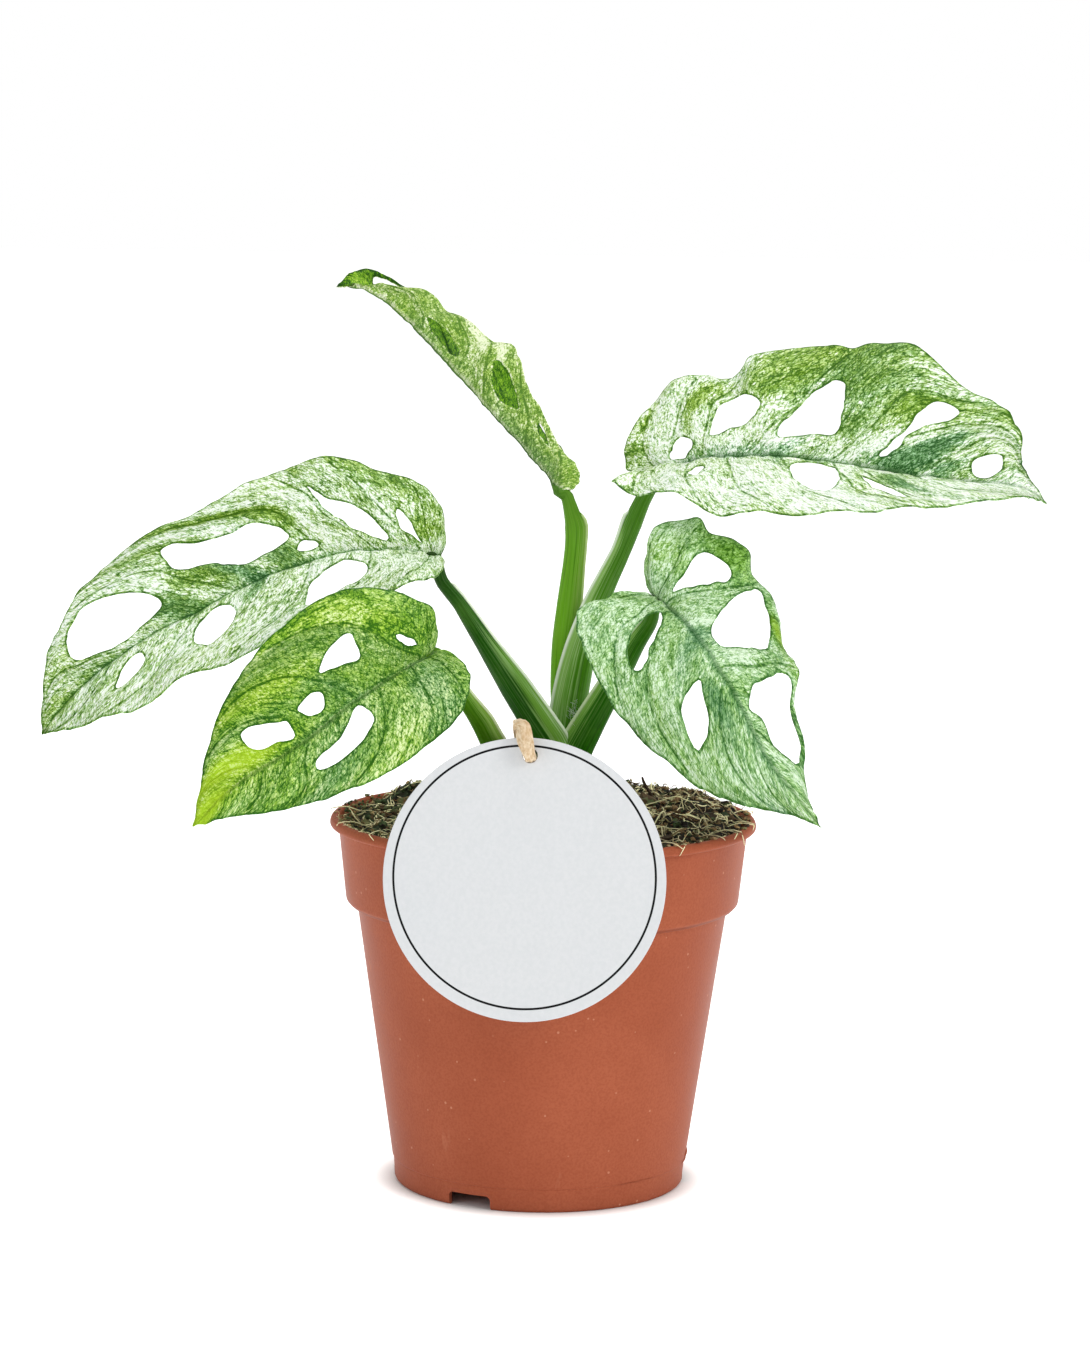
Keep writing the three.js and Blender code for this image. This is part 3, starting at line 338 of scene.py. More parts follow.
def cutter(name, outline, low, high, matrix):
    """A closed body between two copies of a flat outline, to be cut out of the pot."""
    count = len(outline)
    points = [matrix @ Vector((x, y, z)) for z in (low, high) for x, y in outline]
    faces = [tuple(reversed(range(count))), tuple(range(count, 2 * count))]
    for j in range(count):
        after = (j + 1) % count
        faces.append((j, after, count + after, count + j))
    return new_piece(name, points, faces, plastic)


notch_outline = [(-NOTCH_HALF, -1), (NOTCH_HALF, -1)]
for sign, start in ((1, 0), (-1, 90)):
    for k in range(6):
        x, y = polar(NOTCH_CORNER, math.radians(start + 18 * k))
        notch_outline.append((sign * (NOTCH_HALF - NOTCH_CORNER) + x, NOTCH_TOP - NOTCH_CORNER + y))
lying = Matrix.Translation((0, -NOTCH_FROM, 0)) @ Matrix.Rotation(math.radians(90), 4, "X")
cutters = []
for k in range(NOTCHES):
    heading = Matrix.Rotation(math.radians(FIRST_NOTCH + 90 + 360 * k / NOTCHES), 4, "Z")
    cutters.append(cutter("notch_%d" % k, notch_outline, 0, NOTCH_DEPTH, heading @ lying))
for k in range(DRAIN_HOLES):
    x, y = polar(DRAIN_RING, 2 * math.pi * (k + 0.5) / DRAIN_HOLES)
    spot = Matrix.Translation((x, y, 0))
    cutters.append(cutter("drain_%d" % k, circle(DRAIN_RADIUS, 32), FLOOR_Z - 3, FLOOR_Z + 3, spot))
for body in cutters:
    cut = pot.modifiers.new("cut", "BOOLEAN")
    cut.object = body
    cut.solver = "EXACT"
pot.data = bpy.data.meshes.new_from_object(pot.evaluated_get(bpy.context.evaluated_depsgraph_get()))
pot.modifiers.clear()
for body in cutters:
    bpy.data.objects.remove(body)
pot.data.shade_smooth()
pot.data.set_sharp_from_angle(angle=math.radians(POT_CREASE))
fit_piece(pot, "pot", "pot")

# MOULDING BURRS
# Slivers of the same plastic left by the mould: three at the foot line, and two under the lip, each
# thickest at its middle.


def tube_faces(rows, sides, first=0):
    """The faces of a tube from rows of points round it, with a flat face at each end."""
    faces = []
    end = first + (rows - 1) * sides
    for low in range(first, end, sides):
        for j in range(sides):
            a, b = low + j, low + (j + 1) % sides
            faces.append((a, b, b + sides, a + sides))
    return faces + [tuple(range(first + sides - 1, first - 1, -1)), tuple(range(end, end + sides))]


BURR_ROWS = 9
BURR_SIDES = 6
burr_points = []
burr_faces = []
for radius, z, from_angle, to_angle, thick, rise in (
    (41.95, 7.6, -9, -5, 0.45, 2.6), (41.75, 6.8, -16, -2, 0.22, 0.2), (41.75, 6.8, -60, -38, 0.14, 0.1),
    (59.2, 101.3, -50, -47, 0.3, 0.3), (59.1, 101.2, -58, -40, 0.16, 0.1),
):
    burr_faces += tube_faces(BURR_ROWS, BURR_SIDES, len(burr_points))
    for k in range(BURR_ROWS):
        share = k / (BURR_ROWS - 1)
        outward = Vector((*polar(1, math.radians(from_angle + (to_angle - from_angle) * share)), 0))
        centre = outward * radius + Vector((0, 0, z + rise * share))
        reach = thick * math.sin(math.pi * min(0.94, max(0.06, share)))
        burr_points += [centre + outward * x + Vector((0, 0, y)) for x, y in circle(reach, BURR_SIDES)]
fit_piece(new_piece("moulding_burrs", burr_points, burr_faces, plastic), "pot")

# SOIL
# A peat and coir potting mix, heaped to the right and back and sunk below the lip on the left. It
# is filled in round the stem, and has grown a little moss on its left.

SOIL_LEVEL = 103.2
SOIL_EDGE = COLLAR_TOP_RADIUS - POT_WALL - 0.5
SOIL_SIDES = 230
SOIL_RINGS = 56
state = 11


def next_random():
    global state
    state = (state * 1664525 + 1013904223) % 4294967296
    return state / 4294967296


lumps = []
for _ in range(90):
    angle = next_random() * 2 * math.pi
    x, y = polar(math.sqrt(next_random()) * 52, angle)
    lumps.append((x, y, 0.5 + 1.7 * next_random() ** 2, 2.5 + 3 * next_random()))
lumps.append((-37.5, 26, 4.8, 7))


def soil_height(x, y):
    inward = SOIL_EDGE - math.hypot(x, y)
    z = SOIL_LEVEL + 0.032 * x + 0.04 * y - 1.6 * max(0, 1 - inward / 5) ** 2
    for lump_x, lump_y, height, reach in lumps:
        away = ((x - lump_x) ** 2 + (y - lump_y) ** 2) / reach**2
        z += height * math.exp(-away) * min(1, max(0, inward / 4))
    return z


def crumbly_height(x, y):
    """The soil's height with crumb relief on top of its larger lumps."""
    coarse = noise.fractal((x * 0.22, y * 0.22, 3.1), 0.8, 2.1, 4)
    return soil_height(x, y) + 0.9 * coarse + 0.35 * noise.noise((x * 0.9, y * 0.9, 7.7))


soil_side = [
    (INNER_FOOT - 0.9, FLOOR_TOP + 0.3), (FOOT_RADIUS - 0.8, FLOOR_TOP + 2),
    (STEP_RADIUS - POT_WALL - 0.35, STEP_Z), (STEP_RADIUS - POT_WALL, STEP_Z + 1.9),
    (COLLAR_FOOT_RADIUS - POT_WALL - 0.9, STEP_Z + 2.4),
    (COLLAR_FOOT_RADIUS - POT_WALL - 0.4, COLLAR_FOOT_Z), (COLLAR_TOP_RADIUS - POT_WALL - 0.8, LIP_FOOT - 6),
]
soil_points = [(0, 0, soil_side[0][1])]
for radius, z in soil_side:
    soil_points += [(x, y, z) for x, y in circle(radius, SOIL_SIDES)]
for k in range(SOIL_RINGS):
    for x, y in circle(SOIL_EDGE * (1 - k / (SOIL_RINGS + 0.5)), SOIL_SIDES):
        soil_points.append((x, y, crumbly_height(x, y)))
soil_points.append((0, 0, soil_height(0, 0)))


def mossy(tree, place, clouds, leftward, low, share):
    """How mossy the soil is, which is a little more on its left."""
    to_left = ranged(tree, put(tree, "SeparateXYZ", {"Vector": place})["X"], 0.03, -0.03, 0, leftward)
    return ranged(tree, counted(tree, "ADD", clouds, to_left), low, low + 0.1, 0, share)


peat, tree = new_finish("peat", 0.95)
place = put(tree, "TexCoord")["Object"]
grit = noise_of(tree, place, 420, 5, 0.7)
tone = glazed(
    tree, (4, 3, 3),
    (ranged(tree, grit, 0.42, 0.66), (56, 44, 32)),
    (mossy(tree, place, noise_of(tree, place, 380, 3, 0.6), 0.1, 0.52, 0.6), (58, 74, 44)),
    (ranged(tree, noise_of(tree, place, 60, 3, 0.6), 0.4, 0.7, 0, 0.45), (20, 16, 14)),
)
lay_on(tree, tone, grit, 1.0, 0.0006)
soil_faces = turned_faces(len(soil_side) + SOIL_RINGS, SOIL_SIDES)
fit_piece(new_piece("soil_bed", soil_points, soil_faces, peat, 180), "soil", "soil")

# BARK AND PEAT CRUMBS
# Loose crumbs of peat, bark chips and broken twigs that lie on the soil, half sunk in it. Some
# have rolled on to the pot's lip.

ICO = (1 + math.sqrt(5)) / 2
ico_points = [Vector(p).normalized() for p in (
    (-1, ICO, 0), (1, ICO, 0), (-1, -ICO, 0), (1, -ICO, 0), (0, -1, ICO), (0, 1, ICO),
    (0, -1, -ICO), (0, 1, -ICO), (ICO, 0, -1), (ICO, 0, 1), (-ICO, 0, -1), (-ICO, 0, 1),
)]
ico_faces = [
    (0, 11, 5), (0, 5, 1), (0, 1, 7), (0, 7, 10), (0, 10, 11), (1, 5, 9), (5, 11, 4), (11, 10, 2),
    (10, 7, 6), (7, 1, 8), (3, 9, 4), (3, 4, 2), (3, 2, 6), (3, 6, 8), (3, 8, 9), (4, 9, 5),
    (2, 4, 11), (6, 2, 10), (8, 6, 7), (9, 8, 1),
]

# The larger crumbs have each triangle in four, with the new points on the same ball.
ball_points = list(ico_points)
ball_faces = []
middles = {}
for a, b, c in ico_faces:
    halves = []
    for pair in ((a, b), (b, c), (c, a)):
        key = tuple(sorted(pair))
        if key not in middles:
            middles[key] = len(ball_points)
            ball_points.append(((ball_points[key[0]] + ball_points[key[1]]) / 2).normalized())
        halves.append(middles[key])
    ab, bc, ca = halves
    ball_faces += [(a, ab, ca), (b, bc, ab), (c, ca, bc), (ab, bc, ca)]

BALL_FROM = 0.95
crumb_points = []
crumb_faces = []
crumb_tones = []
chance = random.Random(4)


def drop_crumb(x, y, z, sizes, tone, rough=0.35):
    turn = Matrix.Rotation(chance.uniform(0, 6.28), 3, "Z") @ Matrix.Rotation(chance.gauss(0, 0.45), 3, "X")
    first = len(crumb_points)
    seed = chance.uniform(0, 100)
    points, faces = (ball_points, ball_faces) if max(sizes) > BALL_FROM else (ico_points, ico_faces)
    for point in points:
        bumpy = 1 + rough * noise.noise(point * 1.9 + Vector((seed, 0, 0))) * 2
        shaped = Vector((point.x * sizes[0], point.y * sizes[1], point.z * sizes[2])) * bumpy
        crumb_points.append(turn @ shaped + Vector((x, y, z)))
        crumb_tones.append(tone)
    crumb_faces.extend(tuple(first + index for index in face) for face in faces)


for _ in range(4200):
    angle = chance.uniform(0, 2 * math.pi)
    x, y = polar(math.sqrt(chance.random()) * (SOIL_EDGE - 1.5), angle)
    size = 0.28 + 1.2 * chance.random() ** 3.5
    flat = chance.uniform(0.35, 0.9)
    sizes = (size, size * chance.uniform(0.4, 0.9), size * flat)
    tone = chance.random() ** 2 * min(1, 0.7 / size)
    drop_crumb(x, y, crumbly_height(x, y) + 0.3 * size, sizes, tone)
for _ in range(800):
    angle = chance.uniform(0, 2 * math.pi)
    away = chance.triangular(SOIL_EDGE - 3.5, LIP_RADIUS - 0.9, SOIL_EDGE)
    size = 0.3 + 0.6 * chance.random() ** 2
    z = POT_HEIGHT + 0.1 if away > LIP_RADIUS - 2.6 else POT_HEIGHT - chance.uniform(0, 1.8)
    sizes = (size, size * 0.7, size * 0.6)
    drop_crumb(*polar(away, angle), z + 0.3 * size, sizes, chance.random() ** 1.3)
for x, y, size, stretch in (
    (29, 14, 3.2, 1.3), (25, 20, 2.2, 1.6), (38, -22, 2.8, 1.2), (33, -36, 2.4, 1.2), (46, -8, 2.2, 1.5),
    (12, 40, 3.0, 1.4), (-8, 34, 2.6, 1.7), (-40, 4, 1.4, 1.5), (-34, -26, 1.5, 1.4),
    (40, 24, 2.6, 1.5), (-14, -22, 2.4, 1.4), (20, -30, 2.2, 1.6), (-22, 8, 2.2, 1.3), (22, 32, 2.4, 1.2),
):
    z = soil_height(x, y) + 0.4 * size
    size *= 0.8
    drop_crumb(x, y, z, (size * stretch, size, size * 0.7), chance.uniform(0.0, 0.35), 0.5)
for angle, tone in (
    (-52, 0.5), (-44, 0.2), (-37, 0.6), (-24, 0.3), (-18, 0.7), (-14, 0.15), (8, 0.4), (150, 0.5),
):
    drop_crumb(*polar(58.6, math.radians(angle)), POT_HEIGHT + 0.3, (0.9, 0.6, 0.5), tone)


def mark_points(piece, name, values):
    """Keeps one number for each point of the piece, for its material to read."""
    layer = piece.data.attributes.new(name, "FLOAT", "POINT")
    layer.data.foreach_set("value", np.asarray(values, dtype=np.float32))


def mark_of(tree, name):
    """The number that each point of the piece keeps under a name."""
    return put(tree, "Attribute", attribute_name=name)["Fac"]


bark, tree = new_finish("bark_and_peat", 0.9)
place = put(tree, "TexCoord")["Object"]
pores = noise_of(tree, place, 700, 4, 0.7)
tone = glazed(
    tree, (18, 11, 9),
    (ranged(tree, mark_of(tree, "tone"), 0.0, 0.9), (196, 158, 112)),
    (ranged(tree, pores, 0.4, 0.65, 0, 0.6), (38, 30, 24)),
    (mossy(tree, place, noise_of(tree, place, 420, 2), 0.12, 0.54, 0.65), (84, 104, 66)),
)
lay_on(tree, tone, pores, 0.8, 0.0004)
crumbs = new_piece("soil_crumbs", crumb_points, crumb_faces, bark, 28)
mark_points(crumbs, "tone", crumb_tones)
fit_piece(crumbs, "soil")

# COIR FIBRES
# Straw coloured coconut fibres tangled through the top of the soil, some of them over the lip,
# and a few stiff broken stalks that stand out of it at a slant.

FLAT_LIP = LIP_RADIUS - 0.8
coir_bundle = ([], [], [])


def spin_fibre(bundle, route, radius, tone, sides=3):
    """Adds a thin round strand along a route, tapered at both ends, to the bundle."""
    points, faces, tones = bundle
    count = len(route)
    faces += tube_faces(count, sides, len(points))
    for i, point in enumerate(route):
        ahead = route[min(i + 1, count - 1)] - route[max(i - 1, 0)]
        ahead.normalize()
        side = ahead.orthogonal().normalized()
        over = ahead.cross(side)
        thick = radius * (0.35 + 0.65 * math.sin(math.pi * (i + 0.4) / (count - 0.2)) ** 0.5)
        points += [point + side * x + over * y for x, y in circle(thick, sides)]
        tones += [tone] * sides


def lay_fibre(x, y, heading, length, radius, tone, lift, bend):
    """A fibre that lies on the soil and arches off it here and there."""
    route = []
    steps = max(6, int(length / 1.4))
    humps = chance.uniform(0.5, 1.4)
    start = chance.uniform(0, 3)
    for k in range(steps + 1):
        away = math.hypot(x, y)
        if away <= SOIL_EDGE - 0.8:
            ground = crumbly_height(x, y)
        else:
            ground = POT_HEIGHT - 1.2 if away < LIP_RADIUS - 2.4 else POT_HEIGHT
        hump = lift * abs(math.sin(start + humps * math.pi * k / steps))
        route.append(Vector((x, y, ground + radius + hump)))
        if away > FLAT_LIP:
            break
        heading += bend + chance.gauss(0, 0.12)
        x += length / steps * math.cos(heading)
        y += length / steps * math.sin(heading)
    if len(route) > 3:
        inner = [a * 0.25 + b * 0.5 + c * 0.25 for a, b, c in zip(route, route[1:], route[2:])]
        spin_fibre(coir_bundle, [route[0]] + inner + [route[-1]], radius, tone)


for _ in range(260):
    angle = math.radians(chance.triangular(172, 350, 215))
    x, y = polar(chance.uniform(SOIL_EDGE + 0.2, LIP_RADIUS - 1.6), angle)
    heading = chance.uniform(0, 6.28)
    lay_fibre(x, y, heading, chance.uniform(0.8, 2.2), 0.11, chance.uniform(0.5, 1), 0.1, 0.3)
for _ in range(1900):
    angle = chance.uniform(0, 2 * math.pi)
    x, y = polar(math.sqrt(chance.random()) * (SOIL_EDGE - 2), angle)
    # The left of the pot shows fewer fibres.
    if chance.random() * 140 < -20 - x:
        continue
    heading, length = chance.uniform(0, 6.28), chance.uniform(1.5, 8)
    radius, tone = chance.uniform(0.08, 0.25), chance.random()
    lay_fibre(x, y, heading, length, radius, tone, chance.uniform(0.2, 1.8), chance.gauss(0, 0.14))
for x, y, heading, length, radius, tone in (
    (30, -22, 0.9, 22, 0.4, 0.9), (38, -30, 2.2, 24, 0.34, 0.8), (26, -34, 0.2, 20, 0.36, 0.7),
    (44, 4, 2.6, 20, 0.3, 0.9), (36, 16, -0.4, 18, 0.32, 0.6), (-42, -20, 1.0, 20, 0.34, 0.8),
    (-38, 12, 0.4, 18, 0.3, 0.7), (-30, -34, 2.4, 18, 0.3, 0.8), (6, 34, 0.3, 24, 0.4, 0.7),
    (-20, 28, 2.9, 22, 0.36, 0.9), (18, 22, 1.9, 20, 0.34, 0.8), (-10, -30, 0.7, 20, 0.32, 0.6),
):
    lay_fibre(x, y, heading, length, 0.65 * radius, tone, 1.6, 0.04)

# Strands that hang over the lip: up the inside, across the flat of the lip, and down outside.
for angle, spread, drop, tone in (
    (-56, 5, 1.2, 0.8), (-46, -6, 3.0, 0.7), (-38, 4, 1.0, 0.5), (-30, 8, 4.4, 0.6), (-24, -5, 1.4, 0.9),
    (-16, 4, 1.0, 0.8), (-8, -6, 1.4, 0.7), (5, 5, 1.2, 0.9), (-135, 5, 4.2, 0.8), (-128, -6, 1.2, 0.7),
    (-146, 6, 1.4, 0.9), (-158, -4, 1.0, 0.6), (172, 5, 1.2, 0.8), (120, 6, 1.4, 0.7), (70, -6, 2.0, 0.8),
):
    route = []
    for k in range(13):
        t = k / 12
        if t < 0.4:
            radius, z = SOIL_EDGE - 5 + 12.5 * t, POT_HEIGHT - 1.0 + 4.6 * t
        elif t < 0.66:
            radius, z = LIP_RADIUS - 4.4 + 13.5 * (t - 0.4), POT_HEIGHT + 0.85 + 0.3 * (t - 0.4)
        else:
            radius, z = LIP_RADIUS + 0.2 - 0.2 * (t - 0.66), POT_HEIGHT + 0.5 - drop * (t - 0.66) / 0.34
        route.append(Vector((*polar(radius, math.radians(angle + spread * t)), z)))
    spin_fibre(coir_bundle, route, 0.18, tone)
for foot, tip, radius, tone in (
    ((31.5, 18, 105), (28.2, 17, 112.6), 0.5, 0.02), ((27, 15, 106), (23, 14, 111.4), 0.4, 0.02),
    ((-37, -2, 100), (-33.2, 0, 107.5), 0.55, 0.95), ((-34, 20, 101), (-36, 18, 106.5), 0.3, 0.7),
    ((-50, -6, 100), (-53.5, -7, 105.6), 0.25, 0.8),
):
    route = [Vector(foot).lerp(Vector(tip), k / 6) + Vector((0.3 * math.sin(k), 0, 0)) for k in range(7)]
    spin_fibre(coir_bundle, route, radius, tone, 6)

coir, tree = new_finish("coir", 0.8)
own_tone = mark_of(tree, "tone")
place = put(tree, "TexCoord")["Object"]
tone = glazed(
    tree, (112, 82, 50),
    (ranged(tree, own_tone, 0.15, 0.85), (255, 246, 198)),
    (ranged(tree, own_tone, 0.08, 0.0), (44, 30, 26)),
    (ranged(tree, noise_of(tree, place, 160, 3), 0.54, 0.64, 0, 0.3), (128, 122, 66)),
)
lay_on(tree, tone, noise_of(tree, place, 3000, 2), 0.5, 0.0001)
fibres = new_piece("coir_fibres", coir_bundle[0], coir_bundle[1], coir, 180)
mark_points(fibres, "tone", coir_bundle[2])
fit_piece(fibres, "soil")

# MAIN STEM
# The short green stem that the sheaths clasp. It stands in the soil, and is ringed by old leaf
# scars.

STEM_X = 5
STEM_Y = 1
STEM_RADIUS = 5


def lay_flat(piece, name, places):
    """Keeps each point's place on the flat piece, as a UV map."""
    corners = np.empty(len(piece.data.loops), dtype=np.int32)
    piece.data.loops.foreach_get("vertex_index", corners)
    layer = piece.data.uv_layers.new(name=name)
    layer.data.foreach_set("uv", np.asarray(places, dtype=np.float32)[corners].ravel())


def striped_group():
    """Fine lengthwise streaks on a stalk, lighter and darker, and its ribs, from its flat map."""
    outputs = ("Light Streaks", "Dark Streaks", "Ribs")
    group, start, end = new_group("stalk_streaks", {"Flat Place": None, "Fineness": 1.0}, outputs)
    for key, fineness, shift, detail, limits in zip(
        outputs,
        ((3000, 40, 1), (2000, 24, 1), (2600, 12, 1)),
        ((0, 0, 0), (5, 9, 0), (2, 4, 0)),
        (3, 2, 1),
        ((0.44, 0.66), (0.48, 0.7), None),
    ):
        sockets = {"Vector": start["Flat Place"], "Location": shift, "Scale": fineness}
        streaks = noise_of(group, put(group, "Mapping", sockets)["Vector"], start["Fineness"], detail)
        group.links.new(ranged(group, streaks, *limits) if limits else streaks, end[key])
    return group


stalk_streaks = striped_group()


def stalk_finish(name, top, foot, light, dark, rim):
    """A juicy green stalk: one colour at the blade, another at the foot, streaks, a pale rim and painted
    light on one flank.
    """
    material, tree = new_finish(name, 0.4, 0.08)
    flat = put(tree, "UVMap", uv_map="around")["UV"]
    streaks = put(tree, "Group", {"Flat Place": flat}, node_tree=stalk_streaks)
    pale_streaks = streaks["Light Streaks"]
    blush = noise_of(tree, put(tree, "TexCoord")["Object"], 90, 3)
    lit_flank = mark_of(tree, "lit_flank")
    # The flank mark is painted light: the stalk is drawn paler on its lit side, the edge of that band broken
    # up by the streaks, and its pale streaks show more there.
    uneven = counted(tree, "MULTIPLY", counted(tree, "SUBTRACT", pale_streaks, 0.4), 0.4)
    pale_share = counted(tree, "ADD", counted(tree, "MULTIPLY", lit_flank, 0.5), 0.1)
    tone = glazed(
        tree, top,
        (ranged(tree, mark_of(tree, "along"), 0.1, 0.9), foot),
        (counted(tree, "MULTIPLY", streaks["Dark Streaks"], 0.6), dark),
        (ranged(tree, blush, 0.45, 0.7, 0, 0.14), light),
        (ranged(tree, counted(tree, "ADD", lit_flank, uneven), 0.15, 0.9, 0, 0.82), light),
        (counted(tree, "MULTIPLY", pale_streaks, pale_share), glazed(tree, light, (0.3, rim))),
        (ranged(tree, mark_of(tree, "rim"), 0.3, 0.8), rim),
    )
    lay_on(tree, tone, streaks["Ribs"], 0.5, 0.0002, ranged(tree, streaks["Ribs"], 0.3, 0.7, 0.32, 0.46))
    return material


stem_green = stalk_finish(
    "stem_green", (98, 140, 56), (112, 130, 66), (150, 180, 96), (60, 96, 34), (150, 150, 90)
)
stem_outline = [
    (0, 93), (5.1, 93), (5.3, 100), (5.5, 104.5), (5.7, 105.5), (5.2, 106.3), (5.1, 110), (5.4, 112.5),
    (5.0, 113.4), (4.8, 117), (4.2, 119.4), (2.6, 120.6), (0, 121),
]
stem_points, stem_faces = turned(filleted(stem_outline, 0.6, 3), 48)
stem_flat = [(math.atan2(y, x) * STEM_RADIUS * MM, z * MM) for x, y, z in stem_points]
stem_points = [(x + STEM_X, y + STEM_Y, z) for x, y, z in stem_points]
main_stem = new_piece("vine_stem", stem_points, stem_faces, stem_green, 60)
for name, value in (("along", 0.5), ("rim", 0), ("lit_flank", 0)):
    mark_points(main_stem, name, [value] * len(stem_points))
lay_flat(main_stem, "around", stem_flat)
fit_piece(main_stem, "petiole", "main_stem")

# FAR LEFT LEAF
# White and mint, with green flecks along the side veins. Each blade is one thin skin on its
# petiole, thickest at its midrib, with holes between the side veins.

# Each row across a blade is (left margin, midrib, right margin) in millimetres, seen from the base
# along the upper face. A hole is a closed curve through (across, row), with across -1 at the left
# margin and 1 at the right one. A side vein is its row at the midrib, at one and two thirds of the
# way out, and at the margin. A mark is (across, row, reach along the vein, reach across it, more
# green, more yellow). base is how green and how yellow the blade is between its marks.

leaf_far_left = {
    "bow": (0.08, 0.08),
    "wave": (0.8, 0.8, 1.9),
    "base": (0.31, 0.5),
    "rows": [
        ((-28.5, -4, 176), (-29.5, -2, 177.5), (-28.5, 0, 180)),
        ((-29, -11, 174.5), (-33, -3, 178), (-29.5, 5, 190)),
        ((-32.5, -20, 172.5), (-40, -4, 179), (-36, 10, 196)),
        ((-40, -27, 171.5), (-48, -5, 179), (-48.5, 13, 200.5)),
        ((-50.5, -32, 167.5), (-56, -6, 178.5), (-62, 14, 203)),
        ((-61.5, -36, 162.5), (-65.5, -8, 176), (-74, 13, 200)),
        ((-73, -38, 156.5), (-75.5, -10, 172.5), (-87.5, 11, 193.5)),
        ((-85, -40, 152.5), (-87, -13, 167.5), (-100, 7, 187.5)),
        ((-96.5, -40, 147.5), (-98.5, -16, 161), (-115, 2, 179.5)),
        ((-108.5, -39, 140), (-110.5, -19, 155), (-127, -4, 169.5)),
        ((-119.5, -36, 135), (-121, -22, 147.5), (-134, -12, 158.5)),
        ((-129.5, -32, 132), (-129.5, -25, 140), (-137.5, -19, 149)),
        ((-137.5, -30, 130), (-137.5, -30, 130), (-137.5, -30, 130)),
    ],
    "holes": [
        ((0.52, 2.5), (0.29, 1.8), (0.15, 1.4), (0.21, 1.9), (0.33, 2.4)),
        (
            (0.73, 4.7), (0.55, 4.3), (0.46, 3.6), (0.35, 3.1), (0.13, 2.6), (0.15, 3.1), (0.27, 3.9),
            (0.51, 4.5),
        ),
        ((0.22, 5.1), (0.12, 4.7), (0.11, 5.1), (0.15, 5.3)),
        (
            (0.54, 5.9), (0.29, 5.4), (0.22, 6), (0.21, 6.6), (0.35, 7.1), (0.52, 7.8),
            (0.74, 7.8), (0.6, 6.9),
        ),
        ((0.7, 9), (0.29, 8.3), (0.12, 9.1), (0.22, 10), (0.48, 10.5), (0.7, 10.4), (0.84, 9.7)),
        ((-0.24, 3.9), (-0.46, 3.6), (-0.66, 4), (-0.72, 4.9), (-0.68, 5.3), (-0.44, 5.2), (-0.24, 4.5)),
        ((-0.19, 7.1), (-0.39, 6.9), (-0.58, 7.1), (-0.68, 7.6), (-0.5, 7.9), (-0.3, 7.8), (-0.14, 7.5)),
        ((-0.18, 9.2), (-0.36, 9), (-0.52, 9.3), (-0.56, 9.7), (-0.31, 9.6)),
    ],
    "veins_left": [
        (0.9, 1.3, 2.1, 3.4), (3.1, 3.5, 3.9, 5.2), (5, 5.3, 5.8, 7.4), (7.8, 8.2, 8.8, 10.2),
        (9.8, 10.2, 10.9, 11.7),
    ],
    "veins_right": [
        (0.7, 1.4, 1.8, 2.3), (1.3, 2.5, 3.4, 4.2), (2.9, 4.3, 4.8, 5.4), (4.5, 5.2, 5.8, 8),
        (6.9, 7.7, 8.3, 10), (9.3, 10.5, 11.2, 11.7),
    ],
    "marks": [
        (0.97, 2.78, 12, 3.6, 0.35, 0.3), (0.4, 1.22, 3.2, 7.2, 0.3, 0.3),
        (0.58, 3.52, 5.6, 3.2, 0.35, 0.2), (0.38, 4.66, 4, 2, 0.3, 0.1), (0.74, 6.2, 10, 3.2, 0.8, 0.5),
        (0.98, 4.6, 4, 14, 0.25, 0.2),
        (0.78, 5.34, 10.4, 4, -0.2, 0), (0.2, 4.58, 7.2, 2.8, -0.25, 0),
        (0.14, 5.74, 5.6, 3.6, 0.6, -0.2), (0.06, 6.38, 12, 2.4, 0.62, -0.4),
        (0.27, 7.42, 7.2, 3.6, 0.34, 0.2), (0.2, 8.4, 7.2, 3.8, 0.85, -0.2), (0.7, 7.3, 9, 2.4, 0.4, 0.2),
        (0.68, 10.88, 4, 4.8, 0.2, 0.3), (0.18, 11.56, 4.8, 7.2, 0.5, 0.45),
        (0.03, 10.06, 5.6, 3.6, 0.3, 0), (-0.91, 8.22, 11.2, 4, -0.05, 0.1),
        (-0.88, 7.02, 8.8, 3.2, -0.14, -0.1), (-0.66, 3.14, 9.6, 3.2, -0.1, 0),
    ],
    "petiole": [
        (-30.6, -0.2, 175.8, 3.4), (-29.4, -0.2, 170.5, 3.7), (-26.7, -0.8, 167, 4),
        (-23.8, -1.3, 163.5, 4.2), (-16.7, -2.5, 153, 5.8), (-8.7, -4, 141.5, 8.5),
        (-1.3, -5, 130.5, 9.8), (2.5, -4.5, 124, 10.4),
        (3.8, -2.5, 116, 12.4), (4.6, -0.5, 107.5, 13),
    ],
}


def unit(vectors):
    """The vectors at length 1."""
    return vectors / np.maximum(np.linalg.norm(vectors, axis=-1, keepdims=True), 1e-9)


def along(points, row):
    """The place at each row on a smooth curve through the points."""
    points = np.asarray(points, dtype=float)
    last = len(points) - 1
    row = np.clip(np.asarray(row, dtype=float), 0, last)
    padded = np.concatenate([[2 * points[0] - points[1]], points, [2 * points[-1] - points[-2]]])
    i = np.minimum(row.astype(int), last - 1)
    t = row - i
    if points.ndim > 1:
        t = t[:, None]
    a, b, c, d = (padded[i + k] for k in range(4))
    return 0.5 * (2 * b + (c - a) * t + (2 * a - 5 * b + 4 * c - d) * t**2 + (3 * b - 3 * c + d - a) * t**3)


